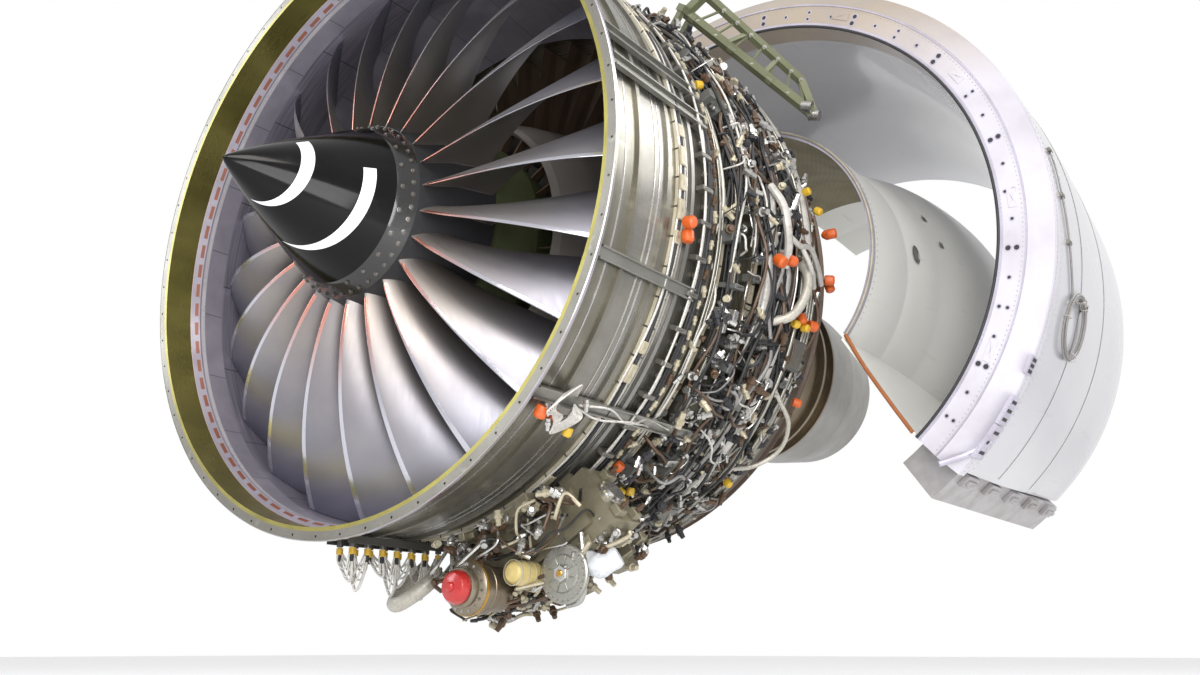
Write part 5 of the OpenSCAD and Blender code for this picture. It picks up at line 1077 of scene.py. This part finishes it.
def make_gearbox_trim():
    """Pump rings, hose elbow, wrapped unit, pipe riser, end cover and small pieces hung round the gearbox."""
    small = {key: [] for key in GEARBOX_LOOKS}
    spot, axes = unit_frame(157.6, 1.866, 0.420)
    ring = [(0.052, 0), (0.0565, 0.002), (0.0565, 0.009), (0.052, 0.011), (0.052, 0)]
    small["cream"] += [stub(spot + z * axes[2], axes, ring, 32) for z in (0.012, 0.060, 0.110)]
    hose = sweep(smooth_path(ELBOW, 40), 0.036, (0, 1, 0.3), 16)
    swell = 0.040 + 0.012 * np.sin(np.linspace(0, math.pi, 28)) + 0.004 * np.sin(np.linspace(0, 22, 28))
    wrapped = sweep(smooth_path(WRAPPED, 28), swell, (0, 1, 0), 16)
    on_engine({"curved_hose": ([hose], "duct_lagging", HOSE),
               "wrapped_unit": ([wrapped], "harness_white", FILM)})
    small["silver"].append(sweep(smooth_path(RISER, 36), 0.013, (0, 1, 0), 10))
    # Connectors, over the case ahead of the gearbox and under the gearbox itself
    for i in range(150):
        clock, y = draw.uniform(145, 173), draw.uniform(0.36, 0.98)
        r = draw.uniform(1.60, 1.80) if y < 0.57 else draw.uniform(1.86, 1.955)
        place, turned = frame_at(clock, r, y)
        d = draw.normal(0, 1, 3)
        key = draw.choice(["silver", "silver", "cream", "brown"])
        small[key].append(stub(place, along(d @ turned, turned[1] + 0.01), np.array(CONNECTOR) * 1.5, 8))
    # Cables between them
    for i in range(56):
        a, y = draw.uniform(145, 172), draw.uniform(0.38, 0.95)
        lift = draw.uniform(0.06, 0.20)
        knots = np.array([(a + draw.normal(0, 1.2), y + draw.normal(0, 0.04), lift + draw.normal(0, 0.04))
                          for k in range(5)])
        knots[:, 0] = np.clip(knots[:, 0] + np.linspace(-4, 4, 5), 144, 172)
        height = np.minimum(1.60 + np.abs(knots[:, 2]) + (0.20 if y > 0.55 else 0.0), 1.935)
        path = smooth_path(ring_point(knots[:, 0], height, knots[:, 1]), 26)
        key = draw.choice(["black", "silver", "brown", "cream"])
        small[key].append(sweep(path, draw.uniform(0.005, 0.010), outward(path), 6))
    # Pads and small covers
    for i in range(44):
        clock, y = draw.uniform(146, 172), draw.uniform(0.40, 0.95)
        place, turned = frame_at(clock, 1.862 if y > 0.59 else 1.60, y, draw.uniform(-10, 10))
        size = (draw.uniform(0.03, 0.09), draw.uniform(0.03, 0.09), draw.uniform(0.02, 0.07))
        small["box"].append(block(place, turned, size, 0.004))
    # Round cover with its bolts, and three pads, on the end face of the gearbox
    place, turned = frame_at(142.95, 1.740, 0.695)
    face = np.stack([turned[1], turned[2], -turned[0]])
    cover = [(0, -0.002), (0.072, -0.002), (0.072, 0.010), (0.055, 0.013), (0.052, 0.030), (0, 0.031)]
    small["silver"].append(stub(place, face, cover, 32))
    small["cream"] += [stub(place + 0.063 * ray + 0.010 * face[2], face, disc(0.006, 0.007), 6)
                       for ray in rays(face, 10)]
    for u, v, w, d in ((-0.055, 0.11, 0.06, 0.05), (0.045, -0.105, 0.075, 0.045),
                       (0.06, 0.115, 0.04, 0.05)):
        pad = place + u * face[0] + v * face[1]
        small["box"].append(block(pad, face, (w, d, 0.035), 0.004))
        small["brown"].append(stub(pad + 0.034 * face[2], face, CONNECTOR, 8))
    # Two rows of bolts along the gearbox's outer face
    for clock in np.linspace(145.5, 172.5, 15):
        for y in (0.612, 0.778):
            small["silver"].append(stub(*frame_at(clock, 1.8905, y), disc(0.009, 0.008), 6))
    on_engine({f"gearbox_{key}": (small[key], *look) for key, look in GEARBOX_LOOKS.items()})


LOOP_SAG = np.array([0.150, 0.190, 0.120, 0.205, 0.165, 0.215, 0.140])
LOOP_SHIFT = np.array([0.030, -0.020, 0.045, 0.015, -0.035, 0.025, -0.015])
TWINS = ((0.016, 0.25), (-0.022, 0.12), (0.034, 0.42), (-0.038, 0.34), (0.008, 0.55))  # lean aft, extra sag


def make_tray_loops():
    """White test loops under the tray, each a half sine between two capped sockets, with thinner twins.

    The twins lean aft or forward and sag further than the loop that they start from.
    """
    t = np.linspace(0, 1, 40)
    loops, twins, caps, cuffs = [], [], [], []
    for i, (sag, shift) in enumerate(zip(LOOP_SAG, LOOP_SHIFT)):
        y0 = 0.110 + 0.09 * i
        path = np.stack([-0.042 * np.cos(math.pi * t), y0 + shift * (1 - np.cos(TURN * t)) / 2,
                         -1.6006 - sag * np.sin(math.pi * t)], 1)
        loops.append(sweep(path, 0.0065, (0, 1, 0), 8))
        for lean, rise in TWINS:
            stray = [0.006 * np.sin(9 * t + lean * 90), lean * np.sin(math.pi * t),
                     rise * sag * np.sin(math.pi * t)]
            twins.append(sweep(path + np.stack(stray, 1), 0.0042, (0, 1, 0), 6))
        for side in (-1, 1):
            spot = np.array([side * 0.042, y0, -1.606])
            cap = [(0, 0), (0.0155, 0), (0.0155, 0.026), (0.011, 0.030), (0, 0.030)]
            caps.append(stub(spot, HANGING, cap, 12))
            cuffs.append(stub(spot - (0, 0, 0.03), HANGING, [(0, 0), (0.010, 0), (0.009, 0.03), (0, 0.03)],
                              10))
    piece("test_loops", loops, "engine_frame", "harness_white", WIRE, replaces=("harness_loops",))
    on_engine({"test_loop_twins": (twins, "harness_white", WIRE),
               "test_loop_caps": (caps, "pump_yellow", CAP_YELLOW),
               "test_loop_cuffs": (cuffs, "cable_grey", BLACK)})


make_starter()
make_drive_pad()
make_gearbox_trim()
make_tray_loops()

# Reverser halves: everything is drawn closed on the left, then swung open and mirrored

def both_sides(name, parts, moves, slot, finish, **more):
    """The same parts on the left half and, mirrored, on the right one, where the quads are turned round."""
    for side, word in ((1, "left"), (-1, "right")):
        shown = [(swing(p, side), f if side > 0 else np.asarray(f)[:, ::-1]) for p, f in parts]
        piece(f"{word}_{name}", shown, f"{word}_{moves}", slot, finish, **more)


# Clock angles that a cowl and its front frame reach from and to, and the inner wall's radius at its front
HALF_A0, HALF_A1, FRAME_A0, FRAME_A1 = 12.0, 170.2, 8.0, 171.0
WALL_R = 0.830
OUTER = smooth_path([(1.760, BOX_Y1 + 0.0006), (1.756, REV_Y0 + 0.77), (1.712, REV_Y0 + 1.47),
                     (1.650, REV_Y1 - 0.36), (1.460, REV_Y1)], 48)
INNER = smooth_path([(1.500, BOX_Y1 + 0.0006), (1.496, BOX_Y1 + 0.53), (1.450, REV_Y0 + 1.30),
                     (1.445, REV_Y1 - 0.42), (1.455, REV_Y1)], 36)


def cowl_profile(y):
    """Outer radius of the cowl at a station."""
    return np.interp(y, OUTER[:, 1], OUTER[:, 0])


def wall_r(y):
    """Radius just over the inner wall's skin at a station."""
    return np.interp(y, REV_Y0 + np.array([0, 0.48, 0.88, 1.29, 1.77]), [0.845, 0.850, 0.910, 0.999, 1.035])


def opened(part):
    """A (points, quads) part of the closed left half, swung open."""
    return swing(part[0]), part[1]


def make_cowls():
    """Outer and duct skin as one turned shell, thin at the trailing edge and closed along its long edges.

    The inner wall's skin runs between two flat edges 0.231 m from the middle, so its clock limits
    follow its radius.
    """
    a = np.concatenate([[HALF_A0], np.linspace(HALF_A0, HALF_A1, 150), [HALF_A1]])
    loop = np.concatenate([OUTER, INNER[::-1], [INNER[0] + (0.016, 0)], [(1.63, BOX_Y1 + 0.02)],
                           [OUTER[0] - (0.016, 0)], OUTER[:1]])
    r, y = np.repeat(loop[:, :1], len(a), 1), np.repeat(loop[:, 1:], len(a), 1)
    mid = 0.5 * (OUTER[20] + INNER[16])
    r[:, [0, -1]], y[:, [0, -1]] = mid
    shell = ring_point(a[None, :], r, y)
    faces = grid_faces(len(loop), len(a))
    for side, word in ((1, "left"), (-1, "right")):
        piece(f"{word}_cowl_skin", [(swing(shell, side), faces)], f"{word}_sleeve", "cowl_white", COWL,
              replaces=(f"{word}_cowl",), smooth=40)
    wall = smooth_path([(WALL_R, REV_Y0), (0.835, REV_Y0 + 0.48), (0.895, REV_Y0 + 0.88),
                        (0.984, REV_Y0 + 1.29), (1.020, REV_Y0 + 1.77), (1.000, REV_Y1 - 0.38),
                        (0.940, REV_Y1 - 0.06)], 60)
    a0 = np.degrees(np.arcsin(0.231 / (wall[:, 0] + 0.014)))[:, None]
    clock = a0 + (180 - 2 * a0) * np.linspace(0, 1, 130)[None, :]
    outer = ring_point(clock, wall[:, :1] + 0.0145, wall[:, 1:])
    both_sides("wall_skin", [(outer, grid_faces(60, 130))], "half", "duct_white", DUCT, closed=False)


def strip(r0, r1, depth):
    """Flat band all along the front face of a half, between two radii."""
    profile = [(r0, REV_Y0), (r1, REV_Y0), (r1, REV_Y0 - depth), (r0, REV_Y0 - depth)]
    return lathe_solid(profile, FRAME_A0, FRAME_A1, 90)


def front_face(clock, r):
    """Place and axes on the front face of a half; the third axis points forward."""
    axes = np.stack([ring_point(clock + 90, 1, 0), ring_point(clock, 1, 0), [0, -1.0, 0]])
    return ring_point(clock, r, REV_Y0), axes


RIVET = [(0, 0), (0.0032, 0), (0.0022, 0.0012), (0, 0.0014)]
LIPS = (  # profiles (radius, station behind the front face) of the frame's outer corner and rear step
    [(1.6505, -0.002), (1.664, 0.008), (1.658, 0.014), (1.646, 0.003)],
    [(1.7605, 0.088), (1.7635, 0.090), (1.7635, 0.100), (1.7605, 0.102)])


def make_front_frame_trim():
    """Bead seal, edge angles, paired tooling holes shown as dark discs of painted shade, rivet rows and
    splice plates on the front frame.
    """
    seal_path = ring_point(np.linspace(FRAME_A0, FRAME_A1, 150), 1.507, REV_Y0 - 0.004)
    both_sides("frame_bead", [sweep(seal_path, 0.008, (0, 1, 0), 8)], "half", "dark_filler", DARK)
    edge = [strip(1.518, 1.530, 0.003), strip(1.640, 1.648, 0.006)]
    both_sides("frame_edges", edge, "half", "frame_lilac", FRAME_EDGE)
    lips = [lathe_solid([(r, REV_Y0 + y) for r, y in profile], FRAME_A0, FRAME_A1, 90) for profile in LIPS]
    both_sides("frame_lips", lips, "half", "frame_lilac", FRAME)
    holes, rivets, rings = [], [], []
    for k, clock in enumerate(np.arange(FRAME_A0 + 5, FRAME_A1 - 4, 5.6)):
        radius = 0.0135 if k % 4 == 1 else 0.0085
        edge_ring = [(radius, 0), (radius + 0.006, 0), (radius + 0.005, 0.002), (radius, 0.002),
                     (radius, 0)]
        for r in ((1.556, 1.598) if k % 2 else (1.576,)):
            spot, axes = front_face(clock, r)
            # Each hole is a dark disc on the face: painted shade where the hole is
            holes.append(stub(spot, axes, disc(radius, 0.0012), 14))
            rings.append(stub(spot, axes, edge_ring, 14))
    for clock in np.arange(FRAME_A0 + 1, FRAME_A1, 0.9):
        rivets.append(stub(*front_face(clock, 1.626), RIVET, 5))
        rivets.append(stub(*frame_at(clock, 1.7603, REV_Y0 + 0.130), RIVET, 5))
    both_sides("frame_holes", holes, "half", "dark_filler", DARK)
    both_sides("frame_hole_rings", rings, "half", "frame_lilac", FRAME_EDGE)
    both_sides("frame_rivets", rivets, "half", "bolt_steel", BOLT)
    plates = [block(*front_face(clock, 1.585), (width, 0.045, 0.005), 0.002)
              for clock, width in ((60, 0.11), (92, 0.09), (121, 0.10), (150, 0.12))]
    both_sides("frame_splices", plates, "half", "frame_lilac", FRAME)


def make_wall_trim():
    """Seals round the inner wall's front and lower edges, blanket inside, port, slots and fasteners."""
    edge = ring_point(np.linspace(17, 161.5, 110), WALL_R + 0.007, REV_Y0 - 0.004)
    down = smooth_path([edge[-1], (0.262, REV_Y0 - 0.005, -0.83), (0.244, REV_Y0 - 0.006, -1.0),
                        (0.2375, REV_Y0 - 0.006, -1.25), (0.2375, REV_Y0 - 0.006, -1.455)], 40)
    both_sides("wall_edge_seal", [sweep(edge, 0.0085, (0, 1, 0), 8)], "half", "unit_grey", SEAL_TAN)
    both_sides("lower_edge_seal", [sweep(down, 0.011, (0, 1, 0.01), 10)], "half", "gearbox_alloy",
               SEAL_ORANGE)
    flange = [(WALL_R - 0.012, REV_Y0 - 0.001), (WALL_R + 0.0155, REV_Y0 - 0.001),
              (WALL_R + 0.0155, REV_Y0 + 0.02), (WALL_R - 0.012, REV_Y0 + 0.02)]
    both_sides("wall_edge_angle", [lathe_solid(flange, 17, 161.5, 110)], "half", "unit_grey", FRAME_EDGE)
    inside = smooth_path([(WALL_R - 0.006, REV_Y0 + 0.015), (WALL_R - 0.001, REV_Y0 + 0.48),
                          (0.889, REV_Y0 + 0.88), (0.978, REV_Y0 + 1.29), (1.014, REV_Y0 + 1.77)], 40)
    points, quads = lathe(inside, 18, 161, 110)
    both_sides("thermal_blanket", [(points, quads[:, ::-1])], "half", "gearbox_alloy", QUILT, closed=False)
    port = [(0, 0), (0.052, 0), (0.056, 0.003), (0.048, 0.005), (0.044, 0.002), (0, 0.002)]
    port_part = stub(*frame_at(118, wall_r(2.72) + 0.002, 2.72), port, 36)
    both_sides("wall_port", [port_part], "half", "unit_grey", TANK)
    slots = [block(*frame_at(clock, wall_r(y) + 0.001, y), (0.035, 0.085, 0.003), 0.001)
             for clock, y in ((96, 3.05), (108, 3.1))]
    both_sides("wall_slots", slots, "half", "unit_grey", UNIT)
    head, y = [(0, 0), (0.004, 0), (0.003, 0.0012), (0, 0.0012)], REV_Y0 + 0.045
    fasteners = [stub(*frame_at(clock, wall_r(y) + 0.0005, y), head, 6)
                 for clock in np.arange(24, 158, 2.4)]
    both_sides("wall_fasteners", fasteners, "half", "bolt_steel", BOLT)


def make_cowl_trim():
    """Panel seams, rivet rows and rear tabs on the cowl, then the latch fittings of the half."""
    seams, rivets, tabs = [], [], []
    for y in (REV_Y0 + 0.62, REV_Y0 + 1.30):
        r = cowl_profile(y)
        seam = [(r + 0.0004, y), (r + 0.0016, y + 0.001), (r + 0.0016, y + 0.006), (r + 0.0004, y + 0.007)]
        seams.append(lathe_solid(seam, HALF_A0 + 1, HALF_A1 - 1, 90))
    both_sides("cowl_seams", seams, "sleeve", "unit_grey", UNIT)
    head = [(0, 0), (0.0034, 0), (0.0024, 0.0012), (0, 0.0012)]
    for clock in np.arange(HALF_A0 + 2, HALF_A1 - 1, 1.1):
        for y in (BOX_Y1 + 0.035, REV_Y0 + 0.60):
            rivets.append(stub(*frame_at(clock, cowl_profile(y) + 0.0003, y), head, 5))
    both_sides("cowl_rivets", rivets, "sleeve", "bolt_steel", BOLT)
    for clock in (126, 143, 156):
        spot, axes = frame_at(clock, cowl_profile(REV_Y1 - 0.08) - 0.004, REV_Y1 - 0.09)
        tabs.append(block(spot, axes, (0.05, 0.085, 0.030), 0.004))
        tabs.append(block(spot + 0.028 * axes[2], axes, (0.02, 0.14, 0.014), 0.003))
    both_sides("cowl_rear_tabs", tabs, "sleeve", "cowl_white", COWL)
    lugs, plates, dark = [], [], []
    for y in (2.48, 2.86, 3.24, 3.62, 4.00):
        spot, axes = frame_at(171.9, 1.731, y)
        lugs.append(block(spot, axes, (0.075, 0.16, 0.026), 0.004))
        lugs.append(block(spot + 0.024 * axes[2], axes, (0.03, 0.12, 0.016), 0.003))
    both_sides("latch_handles", lugs, "half", "latch_tan", LATCH)
    for clock, y, w, d in ((158, 2.21, 0.16, 0.12), (164, 2.22, 0.20, 0.13), (150, 2.21, 0.10, 0.10)):
        spot, axes = frame_at(clock, 1.7605, y)
        plates.append(block(spot, axes, (w, d, 0.016), 0.004))
        # Three dark strips on each plate: painted shade of its slots
        for u in (-0.3, 0.0, 0.3):
            dark.append(block(spot + u * w * axes[0] + 0.0155 * axes[2], axes, (0.018, d * 0.5, 0.003),
                              0.001))
    both_sides("frame_fittings", plates, "half", "frame_lilac", FRAME_EDGE)
    both_sides("fitting_slots", dark, "half", "dark_filler", DARK)
    root, tip = ring_point(163.5, 1.775, REV_Y0 + 0.10), ring_point(171.5, 1.69, REV_Y0 - 0.02)
    arm = smooth_path([root, 0.5 * (root + tip) + (0.012, 0.02, -0.012), tip], 14)
    both_sides("latch_strut", [sweep(arm, 0.016, (0, 1, 0), 10)], "half", "frame_lilac", FRAME_EDGE)


COIL_CENTRE = (140.0, 1.780, 2.660)  # clock, radius, station
COIL_R, COIL_TURNS, CABLE_R = 0.165, 5, 0.0062
LAY = np.array([(0.0, 0.0), (0.0135, 0.002), (-0.0135, 0.003), (0.0065, 0.013), (-0.007, 0.0135),
                (0.0, 0.0)])


def make_coil():
    """Coiled test cable on its peg, with its plug, ties, and the lead that runs to it over the cowl.

    The cable is one tube that goes five times round a ring. In each turn its place across the
    bundle, offsets (outward from the ring, off the skin), moves by a smooth step from one lay to the
    next, so the turns lie beside each other.
    """
    t = np.linspace(0, COIL_TURNS, COIL_TURNS * 30 + 1)
    i = np.minimum(t.astype(int), COIL_TURNS - 1)
    f = (t - i) ** 3 * ((t - i) * ((t - i) * 6 - 15) + 10)
    dr = LAY[i, 0] * (1 - f) + LAY[i + 1, 0] * f
    dh = LAY[i, 1] * (1 - f) + LAY[i + 1, 1] * f
    spot, axes = frame_at(*COIL_CENTRE)
    angle = t * TURN + 1.9
    path = (spot + ((COIL_R + dr) * np.cos(angle))[:, None] * axes[0]
            + ((COIL_R + dr) * np.sin(angle))[:, None] * axes[1] + (dh - 0.009)[:, None] * axes[2])
    ahead = (path[-1] - path[-2]) / np.linalg.norm(path[-1] - path[-2])
    path = np.concatenate([path, path[-1] + np.outer([0.03, 0.06], ahead)])
    tube = sweep(path, CABLE_R, axes[2], 8)
    path = swing(path)
    piece("coiled_cable", [opened(tube)], "left_sleeve", "cable_grey", CABLE, replaces=("cable_coil",))
    shell = [(0, -0.01), (0.011, -0.01), (0.012, 0.004), (0.016, 0.006), (0.016, 0.034), (0.013, 0.038),
             (0, 0.038)]
    plug = piece("cable_plug", [stub(path[-1], along(path[-1] - path[-2]), shell, 16)], "left_sleeve",
                 "cable_grey", DARK)
    ties = []
    for a in (0.4, 2.5, 4.6):
        ray = math.cos(a) * axes[0] + math.sin(a) * axes[1]
        b = np.linspace(0, TURN, 16)[:, None]
        loop = spot + COIL_R * ray + 0.0235 * (np.cos(b) * ray + np.sin(b) * axes[2])
        ties.append(sweep(swing(loop), 0.0022, np.cross(ray, axes[2]), 5, caps=False))
    piece("cable_ties", ties, "left_sleeve", "harness_white", WIRE)
    lead = smooth_path([(110, 2.43), (114, 2.425), (119, 2.41), (125, 2.44), (131, 2.50), (135, 2.56)], 50)
    lead_path = ring_point(lead[:, 0], cowl_profile(lead[:, 1]) + 0.0085, lead[:, 1])
    piece("cable_lead", [sweep(swing(lead_path), 0.0058, (0, 1, 0), 8)], "left_sleeve", "cable_grey", CABLE)
    clips = [opened(block(*frame_at(clock, cowl_profile(y) + 0.0004, y), (0.022, 0.05, 0.017), 0.003))
             for clock, y in ((110.0, 2.43), (119.0, 2.41), (127.0, 2.455))]
    piece("lead_clips", clips, "left_sleeve", "unit_grey", UNIT)
    peg = [(0, 0), (0.0115, 0), (0.0115, 0.058), (0.019, 0.060), (0.019, 0.066), (0, 0.067)]
    peg_foot = spot - 0.1327 * axes[0] - 0.035 * axes[2]
    piece("cable_peg", [opened(stub(peg_foot, axes, peg, 16))], "left_sleeve", "bolt_steel", BOLT)


make_cowls()
make_front_frame_trim()
make_wall_trim()
make_cowl_trim()
make_coil()

# Lattice arm: clevis ends, cross braces and bolts on the solid arm's four corner points
ARM = np.array([(1.040, 1.450, 1.440), (1.540, 2.000, 0.870), (1.170, 1.450, 1.510), (1.490, 1.960, 1.090)])


def make_arm_trim():
    """Braces between the two chords, collars and bolts, all of them inside the arm's own box."""
    low0, low1, high0, high1 = ARM
    chord = low1 - low0
    braces, bolts = [], []
    for k in np.linspace(0.08, 0.92, 7):
        a = low0 + chord * k
        b = high0 + (high1 - high0) * min(k + 0.1, 0.98)
        braces.append(sweep(np.stack([a, 0.5 * (a + b), b]), 0.009, (0, 1, 0.2), 6))
        bolts += [stub(p, along((0.6, -0.5, -0.6)), disc(0.014, 0.026, -0.018), 6) for p in (a, b)]
    for k in np.linspace(0.05, 0.95, 4):
        braces.append(stub(low0 + chord * k, along(chord), disc(0.030, 0.02, -0.02), 10))
    tip = [stub(low1 + d, along((1, 0.2, -0.3)), disc(0.034, 0.03, -0.03), 14)
           for d in ((0.0, 0, 0), (-0.02, -0.05, 0.04))]
    on_engine({"arm_braces": (braces, "beam_green", BEAM), "arm_bolts": (bolts, "bolt_steel", BOLT),
               "arm_clevis": (tip, "bolt_steel", SILVER)})


make_arm_trim()

# Floor, light and background
FLOOR_Z, FLOOR_HALF = cad_box[0][2] - 0.45, 40
floor_mesh = bpy.data.meshes.new("floor")
corners = [(x * FLOOR_HALF, y * FLOOR_HALF, FLOOR_Z) for x, y in ((-1, -1), (1, -1), (1, 1), (-1, 1))]
floor_mesh.from_pydata(corners, [], [(0, 1, 2, 3)])
floor = bpy.data.objects.new("floor", floor_mesh)
bpy.context.scene.collection.objects.link(floor)
floor_mesh.materials.append(floor_finish())


def soft_lamp(name, place, aim, size, power, color=(1, 1, 1)):
    """Square area lamp at a place, turned towards an aim point."""
    data = bpy.data.lights.new(name, "AREA")
    data.size, data.energy, data.color = size, power, color
    lamp = bpy.data.objects.new(name, data)
    axes = along(np.subtract(place, aim))
    turn = np.eye(4)
    turn[:3, :3], turn[:3, 3] = axes.T, place
    lamp.matrix_world = Matrix(turn.tolist())
    bpy.context.scene.collection.objects.link(lamp)


soft_lamp("key_lamp", (5.5, -6.0, 6.0), (0.5, 1.5, 0), 5.0, 680, (1.0, 0.97, 0.93))
soft_lamp("fill_lamp", (-6.0, -5.0, 3.0), (0, 1.5, 0), 5.0, 420, (0.9, 0.94, 1.0))
soft_lamp("rim_lamp", (7.0, 7.0, 5.0), (1.0, 2.5, 0), 4.0, 380)
soft_lamp("duct_lamp", (3.6, -2.2, -0.6), (1.9, 3.4, 0.5), 2.4, 130)

# White where the camera or glass sees the world, a soft grey as light, and a little less white in metal
world = bpy.data.worlds.new("studio")
bpy.context.scene.world = world
world.use_nodes = True
tree = world.node_tree
background = tree.nodes["Background"]
background.inputs["Strength"].default_value = 1.0
light_path = tree.nodes.new("ShaderNodeLightPath")
seen = Signal(tree, light_path.outputs["Is Camera Ray"])
seen = seen.math("MAXIMUM", seen, Signal(tree, light_path.outputs["Is Glossy Ray"]) * 0.8)
seen = seen.math("MAXIMUM", seen, Signal(tree, light_path.outputs["Is Transmission Ray"]))
blend = tree.nodes.new("ShaderNodeMix")
blend.data_type = "RGBA"
blend.inputs[6].default_value = (0.47, 0.47, 0.48, 1)
blend.inputs[7].default_value = (1.0, 1.0, 1.0, 1)
tree.links.new(seen.out, blend.inputs[0])
tree.links.new(blend.outputs[2], background.inputs["Color"])
bpy.context.scene.view_settings.view_transform = "Standard"
